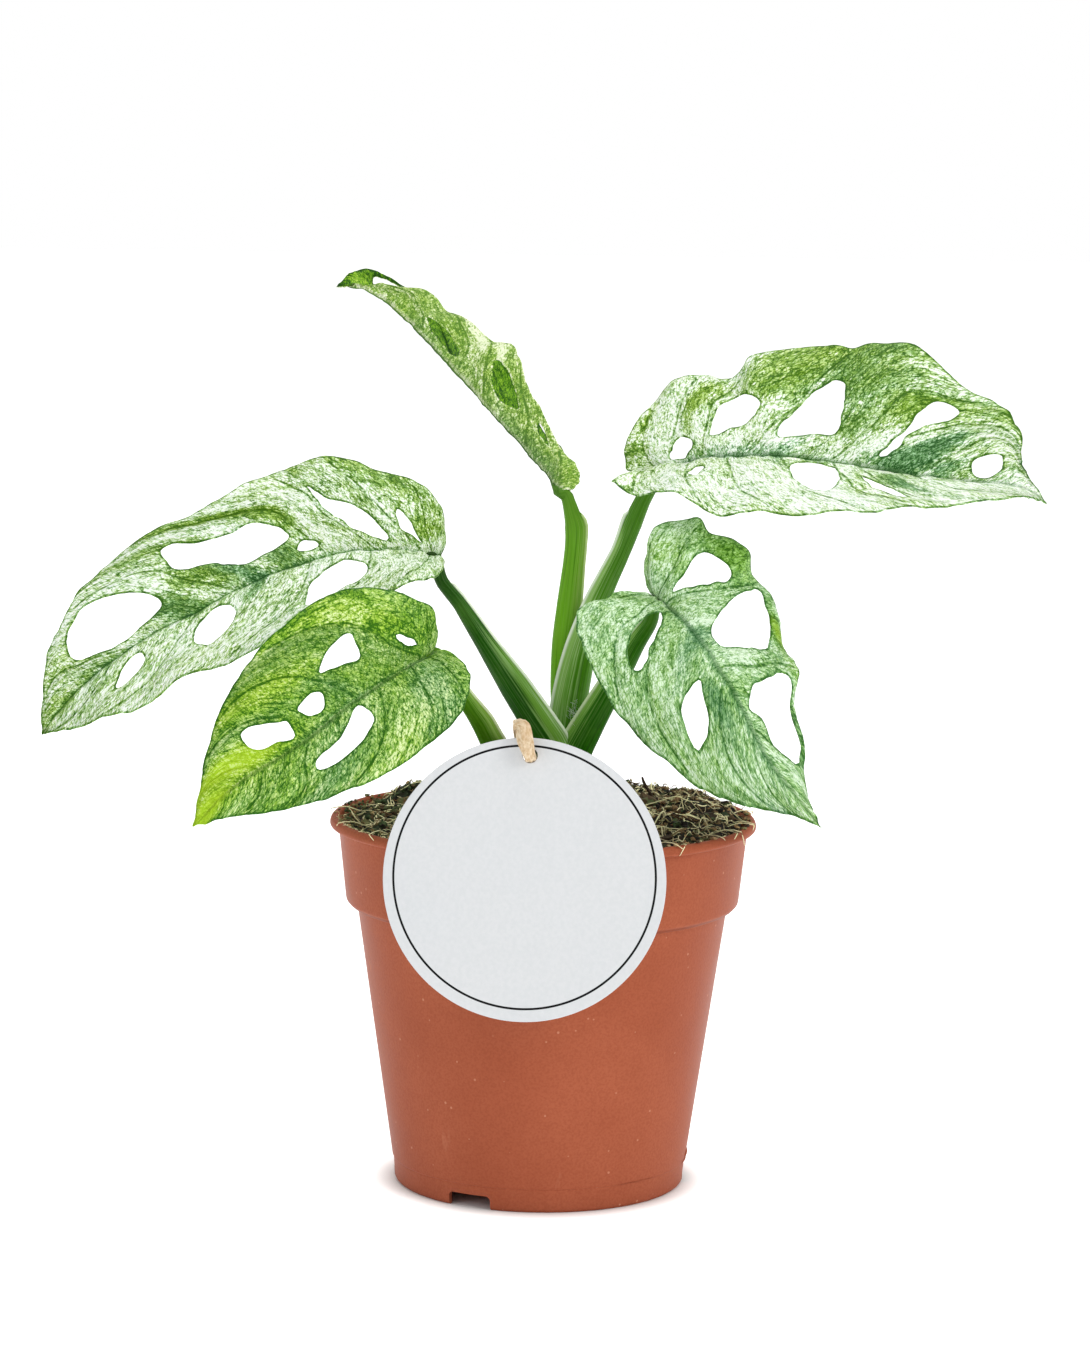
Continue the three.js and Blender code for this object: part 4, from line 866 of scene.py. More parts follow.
def blade_place(leaf, across, row):
    """Places on the blade's middle surface. The side veins arch up and sweep a little to the base."""
    rows = np.asarray(leaf["rows"], dtype=float)
    across, row = np.asarray(across, dtype=float), np.asarray(row, dtype=float)
    start = along(rows[:, 1], row)
    tangent = unit(along(rows[:, 1], row + 0.02) - along(rows[:, 1], row - 0.02))
    is_left = across < 0
    chord = np.where(is_left[:, None], along(rows[:, 0], row), along(rows[:, 2], row)) - start
    width = np.linalg.norm(chord, axis=1)
    up = unit(np.where(is_left[:, None], np.cross(tangent, chord), np.cross(chord, tangent)))
    share = np.abs(across)
    arch = 2 * share * (1 - share) * width
    left_ripple, right_ripple, ripple_rows = leaf["wave"]
    phase = 2 * np.pi * row / ripple_rows + np.where(is_left, 0, 1.3)
    ripple = np.where(is_left, left_ripple, right_ripple) * share**2 * np.sin(phase)
    lift = arch * np.where(is_left, *leaf["bow"]) + ripple * np.minimum(1, width / 15)
    return start + chord * share[:, None] + up * lift[:, None] - tangent * (arch * 0.06)[:, None]


def blade_width(leaf, across, row):
    """How wide the blade's left or right half is at each row."""
    rows = np.asarray(leaf["rows"], dtype=float)
    margin = np.where((np.asarray(across) < 0)[:, None], along(rows[:, 0], row), along(rows[:, 2], row))
    return np.linalg.norm(margin - along(rows[:, 1], row), axis=1)


def even_steps(points, spacing):
    """Positions from 0 to 1 at even steps along a polyline of samples."""
    lengths = np.concatenate([[0], np.cumsum(np.linalg.norm(np.diff(points, axis=0), axis=1))])
    count = max(4, int(round(lengths[-1] / spacing)))
    return np.interp(np.linspace(0, lengths[-1], count + 1), lengths, np.linspace(0, 1, len(points)))


def resampled(line, spacing):
    """The flat line with its points at even steps."""
    steps = even_steps(line, spacing) * (len(line) - 1)
    return np.stack([np.interp(steps, np.arange(len(line)), line[:, k]) for k in range(2)], axis=1)


def closed_curve(points, samples=160):
    """A smooth closed curve through the points, with its speed fitted to their spacing."""
    points = np.asarray(points, dtype=float)
    count = len(points)
    out = []
    for k in range(samples):
        i, t = divmod(k * count / samples, 1)
        before, start, end, after = (points[(int(i) + m) % count] for m in (-1, 0, 1, 2))
        legs = (start - before, end - start, after - end)
        step = legs[1]
        p, q, r = (max(1e-4, float(np.sum(leg**2)) ** 0.25) for leg in legs)
        leave = (legs[0] / p - (end - before) / (p + q) + step / q) * q
        arrive = (step / q - (after - start) / (q + r) + legs[2] / r) * q
        bend = 3 * step - 2 * leave - arrive
        out.append(start + leave * t + bend * t**2 + (leave + arrive - 2 * step) * t**3)
    return np.array(out)


def inside(points, outline):
    """Which of the flat points lie inside the outline."""
    x, y = points[:, 0], points[:, 1]
    result = np.zeros(len(points), dtype=bool)
    for (ax, ay), (bx, by) in zip(outline, np.roll(outline, -1, axis=0)):
        crosses = (ay > y) != (by > y)
        result ^= crosses & (x < ax + (bx - ax) * (y - ay) / (by - ay if by != ay else 1))
    return result


def nearest(tree_points, points):
    """The distance from each point to the nearest of the others."""
    tree = kdtree.KDTree(len(tree_points))
    for k, (x, y) in enumerate(tree_points):
        tree.insert((x, y, 0), k)
    tree.balance()
    return np.array([tree.find((x, y, 0))[2] for x, y in points])


def vein_rows(leaf, is_left, out):
    """The row of each side vein at the given share of the way out to the margin."""
    veins = leaf["veins_left"] if is_left else leaf["veins_right"]
    return np.array([along(vein, np.asarray(out) * 3) for vein in veins])


BLADE_HALF = 0.3
EDGE_WAVE = 0.5
EDGE_ROUND = 0.14
VEIN_START = 1.3
FLAT_SCALE = 0.01
FINE = 1.05


def blade_mesh(leaf, seed):
    """Points, faces, marks and maps of a blade, from its flat plan: out from the midrib, and along it."""
    last = len(leaf["rows"]) - 1
    row_step = np.linalg.norm(blade_place(leaf, [0], [0]) - blade_place(leaf, [0], [last])) / last
    shift = Vector((seed * 7.3, seed * 3.1, 0))

    def plan(across, row):
        return np.stack([across * blade_width(leaf, across, row), row * row_step], axis=1)

    def unplan(flat):
        row = np.clip(flat[:, 1] / row_step, 0, last)
        return flat[:, 0] / np.maximum(blade_width(leaf, flat[:, 0], row), 1e-6), row

    def bumps(places, x_scale, y_scale, level):
        """A cloudy value at each flat place, around 0."""
        return np.array([noise.noise(Vector((x * x_scale, y * y_scale, level)) + shift) for x, y in places])

    def ragged(line):
        """The flat line with the small unevenness of a grown edge."""
        ahead = np.roll(line, -1, axis=0) - np.roll(line, 1, axis=0)
        outward = unit(np.stack([ahead[:, 1], -ahead[:, 0]], axis=1))
        push = bumps(line, 0.28, 0.28, 0) + 0.22 * bumps(line, 1.1, 1.1, 4)
        return line + outward * (push * EDGE_WAVE)[:, None]

    # Margin: along the base, up the right side to the tip, and down the left side.
    sides = []
    for sign in (1, -1):
        edge = blade_place(leaf, np.full(500, float(sign)), np.linspace(0, 1, 500) * (last - 0.02))
        steps = even_steps(edge, FINE * 0.85) * (last - 0.02)
        sides.append(ragged(plan(np.full(len(steps), float(sign)), steps)))
    base_row = even_steps(blade_place(leaf, np.linspace(-1, 1, 60), np.zeros(60)), FINE) * 2 - 1
    base = plan(base_row, np.zeros(len(base_row)))
    tip = np.array([[0, last * row_step]])
    margin = np.concatenate([base[1:-1], sides[0], tip, sides[1][::-1]])
    holes = []
    for hole in leaf["holes"]:
        curve = closed_curve(hole)
        flat = plan(curve[:, 0], curve[:, 1])
        holes.append(ragged(resampled(np.concatenate([flat, flat[:1]]), FINE * 0.8)[:-1]))
    rims = np.concatenate([margin] + holes)
    points, edges, count = [rims], [], 0
    for line in [margin] + holes:
        edges += [(count + k, count + (k + 1) % len(line)) for k in range(len(line))]
        count += len(line)

    def on_skin(places):
        """Which flat places are on the blade and in none of its holes."""
        result = inside(places, margin)
        for hole in holes:
            result &= ~inside(places, hole)
        return result

    # Midrib and side veins are lines of points, so that each is a crease of its own in the skin.
    rib = even_steps(blade_place(leaf, np.zeros(300), np.linspace(0.05, last - 0.15, 300)), FINE)
    lines = [plan(np.zeros(len(rib)), 0.05 + rib * (last - 0.2))]
    for is_left in (True, False):
        out = np.linspace(0.0, 0.93, 160)
        for rows_out in vein_rows(leaf, is_left, out):
            flat = plan(out * (-1 if is_left else 1), np.clip(rows_out, 0, last))
            lines.append(resampled(flat[np.abs(flat[:, 0]) > VEIN_START], FINE))
    for line in lines:
        free = (nearest(rims, line) > 0.6 * FINE) & on_skin(line)
        number = count + np.cumsum(free) - 1
        edges += [(int(n), int(n) + 1) for n, a, b in zip(number, free, free[1:]) if a and b]
        points.append(line[free])
        count += int(free.sum())

    # Points between, on a staggered net.
    xs = np.arange(margin[:, 0].min(), margin[:, 0].max(), FINE)
    ys = np.arange(margin[:, 1].min(), margin[:, 1].max(), FINE * 0.87)
    net = np.array([(x + (FINE / 2 if k % 2 else 0), y) for k, y in enumerate(ys) for x in xs])
    net = net[on_skin(net)]
    points.append(net[nearest(np.concatenate(points), net) > 0.55 * FINE])
    places = [Vector(p) for p in np.concatenate(points)]
    corners, _, triangles, _, _, _ = delaunay_2d_cdt(places, edges, [], 0, 1e-5)
    flat = np.array([(p.x, p.y) for p in corners])
    triangles = np.array([t for t in triangles if len(t) == 3])
    triangles = triangles[on_skin(flat[triangles].mean(axis=1))]
    used, triangles = np.unique(triangles, return_inverse=True)
    flat, triangles = flat[used], triangles.reshape(-1, 3)
    a, b, c = (flat[triangles[:, k]] for k in range(3))
    turn = (b[:, 0] - a[:, 0]) * (c[:, 1] - a[:, 1]) - (b[:, 1] - a[:, 1]) * (c[:, 0] - a[:, 0])
    triangles = np.where((turn < 0)[:, None], triangles[:, ::-1], triangles)

    across, row = unplan(flat)
    middle = blade_place(leaf, across, row)
    normals = np.zeros_like(middle)
    a, b, c = (middle[triangles[:, k]] for k in range(3))
    for k in range(3):
        np.add.at(normals, triangles[:, k], np.cross(b - a, c - a))
    normals = unit(normals)

    # Where along the midrib the vein through each point starts.
    flow = np.empty(len(flat))
    for is_left in (True, False):
        half_points = np.nonzero((flat[:, 0] < 0) == is_left)[0]
        share = np.abs(across[half_points])
        rows_out = vein_rows(leaf, is_left, np.clip(share, 0, 1)).T
        values = [0, *vein_rows(leaf, is_left, [0.0])[:, 0], last]
        for k, known in zip(half_points, rows_out):
            known = [min(0, known[0]) - 1e-3, *known, max(last, known[-1]) + 1e-3]
            flow[k] = np.interp(row[k], np.maximum.accumulate(known), values)
    stream = flow * row_step

    # The skin bulges a little between its veins, and dips along them. The midrib stands out below.
    vein_gap = nearest(np.concatenate(lines[1:]), flat)
    rib_gap = np.abs(flat[:, 0])
    edge_gap = nearest(rims, flat)
    swell = 0.45 * (1 - np.exp(-((np.minimum(vein_gap, rib_gap) / 2.2) ** 2))) * np.minimum(1, edge_gap / 3)
    swell += 0.55 * bumps(flat, 0.16, 0.16, 9) + 0.22 * bumps(flat, 0.45, 0.45, 2)
    swell += 0.4 * bumps(zip(flat[:, 0], stream), 0.07, 0.4, 3)
    taper = 1 - 0.8 * row / last
    groove = 0.5 * np.exp(-((rib_gap / 0.75) ** 2)) * taper + 0.2 * np.exp(-((vein_gap / 0.55) ** 2))
    keel = 0.9 * np.maximum(0, 1 - rib_gap / 2.2) * taper + 0.16 * np.exp(-((vein_gap / 0.5) ** 2))
    half = BLADE_HALF * (0.55 + 0.45 * np.minimum(1, edge_gap / 2.5))
    top = middle + normals * (half + swell - groove)[:, None]
    bottom = middle + normals * (swell - half - keel)[:, None]

    directed = {}
    for t in triangles.tolist():
        for a, b in ((t[0], t[1]), (t[1], t[2]), (t[2], t[0])):
            if (b, a) in directed:
                del directed[(b, a)]
            else:
                directed[(a, b)] = True
    outward = np.zeros_like(middle)
    for a, b in directed:
        push = np.cross(middle[b] - middle[a], normals[a])
        outward[a] += push
        outward[b] += push
    rim_points = sorted({k for pair in directed for k in pair})
    rim_number = {k: 2 * len(middle) + n for n, k in enumerate(rim_points)}
    brow = (top + bottom)[rim_points] / 2 + unit(outward[rim_points]) * EDGE_ROUND
    count = len(middle)
    faces = []
    for a, b, c in triangles.tolist():
        faces += [(a, b, c), (c + count, b + count, a + count)]
    for a, b in directed:
        faces.append((b, a, rim_number[a], rim_number[b]))
        faces.append((rim_number[b], rim_number[a], a + count, b + count))

    # How green and how yellow the skin is, and where its flecks run.
    green = np.full(len(flat), leaf["base"][0])
    yellow = np.full(len(flat), leaf["base"][1])
    for mark_across, mark_row, reach_out, reach_along, more_green, more_yellow in leaf["marks"]:
        mark = plan(np.array([mark_across]), np.array([mark_row]))[0]
        near = np.argmin(np.abs(flat - mark).sum(axis=1))
        gap = ((flat[:, 0] - mark[0]) / reach_out) ** 2 + ((stream - stream[near]) / reach_along) ** 2
        weight = np.exp(-(gap**1.5))
        green += more_green * weight
        yellow += more_yellow * weight
    green += 0.1 * bumps(flat, 0.1, 0.25, 5)
    marks = {
        "green": green,
        "yellow": yellow,
        "vein_gap": np.minimum(vein_gap, 6),
        "edge_gap": np.minimum(edge_gap, 6),
        "underside": np.zeros(len(flat)),
    }
    from_foot = np.sign(flat[:, 0]) * np.hypot(flat[:, 0], flat[:, 1] - stream)
    from_rib = np.abs(flat[:, 0]) + np.where(flat[:, 0] < 0, 90, 0)
    maps = {
        "flow": np.stack([from_foot, stream], axis=1) * FLAT_SCALE,
        "plan": np.stack([from_rib, flat[:, 1]], axis=1) * FLAT_SCALE,
    }
    doubled, maps = (
        {key: np.concatenate([values, values, values[rim_points]]) for key, values in part.items()}
        for part in (marks, maps)
    )
    doubled["green"][:count] += leaf.get("upper_green", 0)
    doubled["underside"][count:] = 1
    doubled["underside"][2 * count :] = 0.5
    return np.concatenate([top, bottom, brow]), faces, doubled, maps


def marbled_group():
    """A marbled leaf skin: flecks of green on pale tissue that run along the side veins."""
    inputs = {
        "Flow Place": None, "Plan Place": None, "Fleck Contrast": 1.0, "Cloud Contrast": 1.0,
        "Rib Line": 1.0, "Edge Line": 1.0, "Green": 0.5, "Yellow": 0.5, "Vein Gap": 6.0, "Edge Gap": 6.0,
        "Underside": 0.0, "Pale": colour(240, 246, 238),
        "Light Cool": colour(176, 212, 172), "Light Warm": colour(198, 222, 138),
        "Middle Cool": colour(102, 152, 92), "Middle Warm": colour(126, 166, 52),
        "Deep Cool": colour(38, 86, 34), "Deep Warm": colour(62, 106, 8), "Lime": colour(172, 208, 36),
    }
    group, start, end = new_group("marbled_skin", inputs, ("Color", "Roughness", "Height"))

    def clouds_of(long_mm, wide_mm, heading, detail=2, rough=0.5, on="Plan Place"):
        """Clouds about as long and as wide as given, the long way at a heading on the chosen map."""
        sockets = {
            "Vector": start[on],
            "Location": (0.37 * heading + long_mm, 0.73 * wide_mm, 0),
            "Rotation": (0, 0, math.radians(heading)),
            "Scale": (long_mm * FLAT_SCALE, wide_mm * FLAT_SCALE, 1),
        }
        laid = put(group, "Mapping", sockets, vector_type="TEXTURE")["Vector"]
        return counted(group, "SUBTRACT", noise_of(group, laid, 1.0, detail, rough), 0.5)

    def weighed(*terms):
        """The sum of values times their weights."""
        total = None
        for value, weight in terms:
            value = counted(group, "MULTIPLY", value, weight)
            total = value if total is None else counted(group, "ADD", total, value)
        return total

    def threads_of(clouds, width):
        return ranged(group, counted(group, "ABSOLUTE", clouds), width, 0.0)

    first_net = threads_of(clouds_of(3.6, 0.95, 8, 2, 0.5, "Flow Place"), 0.05)
    second_net = threads_of(clouds_of(2.4, 0.85, 12), 0.06)
    third_net = threads_of(clouds_of(1.9, 0.75, 74), 0.06)
    hairlines = threads_of(clouds_of(15, 2.1, 0, 1, 0.5, "Flow Place"), 0.035)
    flecks = ranged(group, clouds_of(1.7, 0.55, 42), 0.06, 0.16)
    sparks = ranged(group, clouds_of(1.5, 0.5, 28), 0.04, 0.16)
    medium = clouds_of(5.5, 3.2, 6, 3, 0.62, "Flow Place")
    small = clouds_of(2.6, 1.3, 34)
    broad = clouds_of(20, 10, 0, 2, 0.5, "Flow Place")
    billows = counted(group, "MULTIPLY", medium, start["Cloud Contrast"])
    ground = weighed((start["Green"], 1.0), (broad, 0.9), (billows, 1.25))
    ground = ranged(group, ground, -0.35, 1.45, -0.12, 1.12)
    excess = counted(group, "MAXIMUM", counted(group, "SUBTRACT", ground, 0.72))
    ground = weighed((ground, 1.0), (excess, -0.6))
    net = weighed(
        (first_net, 0.5), (second_net, 0.45), (third_net, 0.35), (hairlines, 0.3), (flecks, 0.42),
        (sparks, -0.26), (small, 0.5),
    )
    net = counted(group, "SUBTRACT", net, 0.3)
    net = counted(group, "MULTIPLY", net, ranged(group, ground, -0.1, 0.4, 0.66, 1.0))
    rib_gap = counted(group, "ABSOLUTE", put(group, "SeparateXYZ", {"Vector": start["Flow Place"]})["X"])
    above = ranged(group, start["Underside"], 0.4, 0.6, 1, -2.2)
    # On the upper face a band along the midrib is drawn darker, and so is a thin line over it where Rib Line
    # is above 0. These are partly the midrib's own green and partly painted shade of its groove. On the
    # underside the band is drawn paler.
    near_rib = ranged(group, rib_gap, 2.4 * FLAT_SCALE, 0.4 * FLAT_SCALE, 0, 0.2)
    line = ranged(group, rib_gap, 0.65 * FLAT_SCALE, 0.2 * FLAT_SCALE, 0, 0.36)
    line = counted(group, "MULTIPLY", line, start["Rib Line"])
    faint = ranged(group, small, -0.14, 0.14, 0.45, 1.0)
    vein = ranged(group, start["Vein Gap"], 0.46, 0.08, 0, 0.64)
    rim = ranged(group, start["Edge Gap"], 0.55, 0.12, 0, 0.75)
    rim = counted(group, "MULTIPLY", rim, start["Edge Line"])
    amount = weighed(
        (ground, 1.0), (net, start["Fleck Contrast"]), (near_rib, above), (line, above), (vein, faint),
        (rim, faint),
    )
    warmth = weighed((start["Yellow"], 1.0), (broad, 0.9), (small, 0.8), (sparks, 0.25), (near_rib, -1.1))
    warmth = put(group, "Clamp", {"Value": warmth})[0]
    light, middle, deep = (
        glazed(group, start[shade + " Cool"], (warmth, start[shade + " Warm"]))
        for shade in ("Light", "Middle", "Deep")
    )
    tone = glazed(
        group, start["Pale"],
        (ranged(group, amount, 0.06, 0.34), light),
        (ranged(group, amount, 0.32, 0.66), middle),
        (ranged(group, amount, 0.74, 1.12), deep),
        (ranged(group, start["Yellow"], 0.95, 1.6, 0, 0.62), start["Lime"]),
        (counted(group, "MULTIPLY", start["Underside"], 0.1), light),
    )
    fine = weighed((first_net, 0.5), (second_net, 0.35), (small, 1.0))
    sunk = ranged(group, start["Vein Gap"], 0.0, 0.5, -0.5, 0)
    group.links.new(tone, end["Color"])
    group.links.new(ranged(group, amount, 0.0, 1.0, 0.5, 0.38), end["Roughness"])
    group.links.new(weighed((fine, -0.35), (medium, 1.2), (sunk, 1.0)), end["Height"])
    return group


marbled_skin = marbled_group()


def skin_finish(name, contrast=1.0, rib_line=1.0, **more):
    """A leaf skin with its own fleck colours. A negative rib_line draws its midrib pale."""
    material, tree = new_finish(name, 0.45, 0.1)
    shader = tree.nodes["Principled BSDF"].inputs
    shader["Subsurface Weight"].default_value = 0.05
    shader["Subsurface Radius"].default_value = (0.6, 1.0, 0.3)
    shader["Subsurface Scale"].default_value = 0.001
    sockets = {"Fleck Contrast": contrast, "Rib Line": rib_line}
    for key in ("flow", "plan"):
        sockets[key.title() + " Place"] = put(tree, "UVMap", uv_map=key)["UV"]
    for key in ("green", "yellow", "vein_gap", "edge_gap", "underside"):
        more[key] = mark_of(tree, key)
    for key, value in more.items():
        value = colour(*value) if isinstance(value, tuple) else value
        sockets[key.replace("_", " ").title()] = value
    skin = put(tree, "Group", sockets, node_tree=marbled_skin)
    lay_on(tree, skin["Color"], skin["Height"], 0.8, 0.0006, skin["Roughness"])
    return material


def grow_blade(name, leaf, seed, material, slot, upper_material=None):
    """Makes the blade and fits it in place of its plain one. Its upper face may have a skin of its own."""
    points, faces, marks, maps = blade_mesh(leaf, seed)
    blade = new_piece("blade_" + name, points, faces, material, 180)
    if upper_material:
        blade.data.materials.append(upper_material)
        for face in blade.data.polygons:
            face.material_index = int(all(marks["underside"][k] == 0 for k in face.vertices))
    for key, values in marks.items():
        mark_points(blade, key, values)
    for key, places in maps.items():
        lay_flat(blade, key, places)
    fit_piece(blade, slot, "leaf_" + name)


PETIOLE_SIDES = 40
PETIOLE_STEP = 1.3
PETIOLE_FLATNESS = 0.82
STALK_HALF = 3.4


def grow_petiole(name, leaf, sheath, material):
    """A petiole with its sheath: (row of its ear, side of its edge, ear height, edge height, spread of its
    painted lit flank).
    """
    route = np.asarray(leaf["petiole"], dtype=float)
    ear_row, side_sign, ear_height, edge_height, lit_flank_spread = sheath
    rim_angle = math.radians(-9 if side_sign > 0 else 189)
    keel = []
    for rib_row, share in ((1.6, 0.2), (1.2, 0.4), (0.8, 0.6), (0.4, 0.8), (0.1, 0.9)):
        place = blade_place(leaf, [0, 0, 0.1], [rib_row, rib_row + 0.1, rib_row])
        up = unit(np.cross(place[2] - place[0], place[1] - place[0]))
        wide = route[0, 3] * share
        keel.append((*(place[0] - up * (0.3 + 0.3 * wide)), wide))
    ear_row += len(keel)
    route = np.concatenate([keel, route])
    last = len(route) - 1
    steps = even_steps(along(route[:, :3], np.linspace(0, last, 300)), PETIOLE_STEP) * last
    centres = along(route[:, :3], steps)
    headings = unit(along(route[:, :3], steps + 0.02) - along(route[:, :3], steps - 0.02))
    points = []
    marks = {"along": [], "rim": [], "lit_flank": []}
    flat_map = []
    length = 0.0
    for row, centre, before, ahead in zip(steps, centres, [centres[0], *centres], headings):
        radius = np.interp(row, np.arange(last + 1), route[:, 3]) / 2
        side = unit(np.cross(ahead, (0, 1, 0)))
        front = np.cross(side, ahead)
        length += float(np.linalg.norm(centre - before))
        past_ear = (row - ear_row) / 0.35
        lit_flank_reach = 1 + lit_flank_spread * min(1, max(0, past_ear - 7) / 5)
        rise = 0.0
        if past_ear > 0:
            rise = edge_height + (ear_height - edge_height) * math.exp(-past_ear * 0.7)
            rise *= min(1, past_ear * 1.6)
        for j in range(PETIOLE_SIDES):
            angle = 2 * math.pi * j / PETIOLE_SIDES
            turn = math.atan2(math.sin(angle - rim_angle), math.cos(angle - rim_angle))
            ridge = rise * math.exp(-((turn / 0.17) ** 2))
            furrow = 0.45 * rise * math.exp(-(((turn + side_sign * 0.42) / 0.2) ** 2))
            x, y = polar(radius + ridge - furrow, angle)
            points.append(centre + side * x + front * (y * PETIOLE_FLATNESS))
            # The flank mark is painted light: a paler band round the side of the sheath edge, widened by the
            # sheath's last number, and a fainter one on the opposite side.
            if lit_flank_spread > 0.5:
                lit_flank = min(2, max(0.05, (past_ear - 5) * 0.22)) * math.exp(-((turn / 1.18) ** 4))
            else:
                lit_flank = math.exp(-((turn / lit_flank_reach) ** 2)) * min(1, max(0.08, past_ear * 0.3))
            marks["along"].append(row / last)
            marks["rim"].append(math.exp(-((turn / 0.25) ** 2)) if rise > 0 else 0.0)
            marks["lit_flank"].append(lit_flank + 0.3 * math.exp(-(((math.pi - abs(turn)) / 0.5) ** 2)))
            flat_map.append((min(angle, 2 * math.pi - angle) * STALK_HALF * MM, length * MM))
    faces = tube_faces(len(steps), PETIOLE_SIDES)
    petiole = new_piece("stalk_" + name, points, faces, material, 60)
    for key, values in marks.items():
        mark_points(petiole, key, values)
    lay_flat(petiole, "around", flat_map)
    fit_piece(petiole, "petiole", "petiole_" + name)


mint_skin = skin_finish("mint_skin")
grow_blade("far_left", leaf_far_left, 1, mint_skin, "leaf_mint")
grow_petiole(
    "far_left", leaf_far_left, (1.5, 1, 0.8, 0.5, 0.8),
    stalk_finish("far_left_green", (28, 60, 8), (30, 90, 0), (112, 162, 58), (14, 48, 0), (232, 242, 222)),
)

# LOW LEFT LEAF
# The lime leaf that leans out over the left of the pot: green with fine yellow flecks, turning
# lime at its tip and outer margin, and greyer near its base.

leaf_low_left = {
    "bow": (0.08, 0.1),
    "wave": (0.5, 0.5, 2.3),
    "base": (0.68, 0.5),
    "rows": [
        ((-27, -44, 156), (-30, -44, 156), (-29.5, -43, 159)),
        ((-23, -46, 154), (-31.5, -45, 155), (-29.5, -42, 163)),
        ((-20.5, -48, 150.5), (-34, -46, 153.5), (-30.5, -41, 167)),
        ((-20.5, -50, 145), (-38, -47, 151.5), (-35, -41, 169.5)),
        ((-24.5, -53, 138), (-43, -48, 148.5), (-42.5, -41, 172)),
        ((-32, -56, 131.5), (-49, -50, 144.5), (-52.5, -42, 172.5)),
        ((-41, -58, 125.5), (-55.5, -51, 140), (-61.5, -43, 169)),
        ((-52, -60, 120.5), (-62.5, -53, 134), (-70.5, -45, 162.5)),
        ((-63.5, -61, 116.5), (-70, -55, 129), (-78.5, -48, 154)),
        ((-75, -60, 114), (-77.5, -56, 124.5), (-85, -50, 144)),
        ((-85, -60, 112.5), (-85, -58, 119), (-90, -55, 130)),
        ((-93.5, -60, 110), (-93.5, -60, 110), (-93.5, -60, 110)),
    ],
    "holes": [
        ((0.47, 3.7), (0.42, 3), (0.31, 2.5), (0.33, 3.2)),
        ((0.56, 5.2), (0.35, 5), (0.34, 5.5), (0.42, 6.4), (0.54, 6.1)),
        ((0.31, 6.8), (0.21, 6.4), (0.13, 6.4), (0.16, 7), (0.27, 7.3)),
        ((0.5, 9.1), (0.33, 8.1), (0.21, 7.6), (0.08, 7.5), (0.12, 8), (0.24, 8.9)),
        ((-0.11, 5.3), (-0.27, 5.3), (-0.44, 5.8), (-0.56, 6.6), (-0.54, 7.4), (-0.43, 7.4), (-0.29, 6.5)),
    ],
    "veins_left": [
        (1.2, 1.7, 2.4, 3.2), (2.6, 3.4, 4, 5), (4.4, 5, 5.8, 7), (7.1, 7.6, 7.8, 8.4),
        (8.7, 8.9, 9.1, 9.6),
    ],
    "veins_right": [
        (0.4, 1.6, 2.2, 2.5), (1.3, 3.7, 5.2, 8.2), (5.2, 6.4, 7.7, 9.8), (7, 7.9, 9.3, 10.3),
        (8.8, 9.9, 10.4, 10.8),
    ],
    "marks": [
        (0.5, 10.38, 7, 10, -0.12, 0.6), (0.87, 9.18, 4, 14, -0.1, 0.6), (0.4, 11.4, 10, 8, -0.05, 0.9),
        (-0.4, 11.5, 6, 6, -0.05, 0.6), (0.95, 10.6, 4, 9, -0.1, 0.6),
        (0.99, 6, 19.1, 2.8, 0.1, 0.35), (0.71, 5.34, 9.6, 3.2, -0.25, 0.2),
        (0.54, 4.12, 4.8, 4, 0.35, 0.2), (0.18, 2.72, 6.4, 2.4, 0.25, 0),
        (-0.44, 3.32, 8.8, 7.2, -0.02, -0.45), (-0.91, 3.92, 4.8, 6.4, -0.06, -0.4),
        (-0.66, 6.76, 10, 6, 0.06, -0.4), (0.22, 5.9, 6.4, 3.6, 0.15, -0.25),
        (-0.95, 5.98, 12.8, 3.2, -0.2, 0), (-0.8, 4.9, 6, 5, -0.24, 0.15),
    ],
    "petiole": [
        (-29, -42.5, 155, 3), (-26, -39, 149, 3.8), (-21.5, -33, 141.5, 4.8), (-17.5, -24, 134.5, 6.2),
        (-14.5, -15, 127.5, 6.8), (-11.5, -8, 121.5, 6.8), (-3, -1.5, 111.5, 7),
    ],
}
lime_skin = skin_finish(
    "lime_skin", 0.9, -0.6, cloud_contrast=0.6,
    pale=(216, 233, 174), light_cool=(168, 200, 140), light_warm=(182, 212, 86),
    middle_cool=(98, 148, 76), middle_warm=(118, 166, 38), deep_cool=(40, 90, 26), deep_warm=(50, 104, 6),
)
grow_blade("low_left", leaf_low_left, 2, lime_skin, "leaf_lime")
grow_petiole(
    "low_left", leaf_low_left, (0.6, 1, 0.7, 0.5, 0),
    stalk_finish(
        "low_left_green", (78, 124, 14), (70, 130, 4), (120, 162, 52), (48, 94, 2), (212, 226, 184),
    ),
)

# YOUNG LEAF
# The newest leaf, still half rolled. Its outside is bright yellow green and cream, and the darker
# inside shows through its holes.

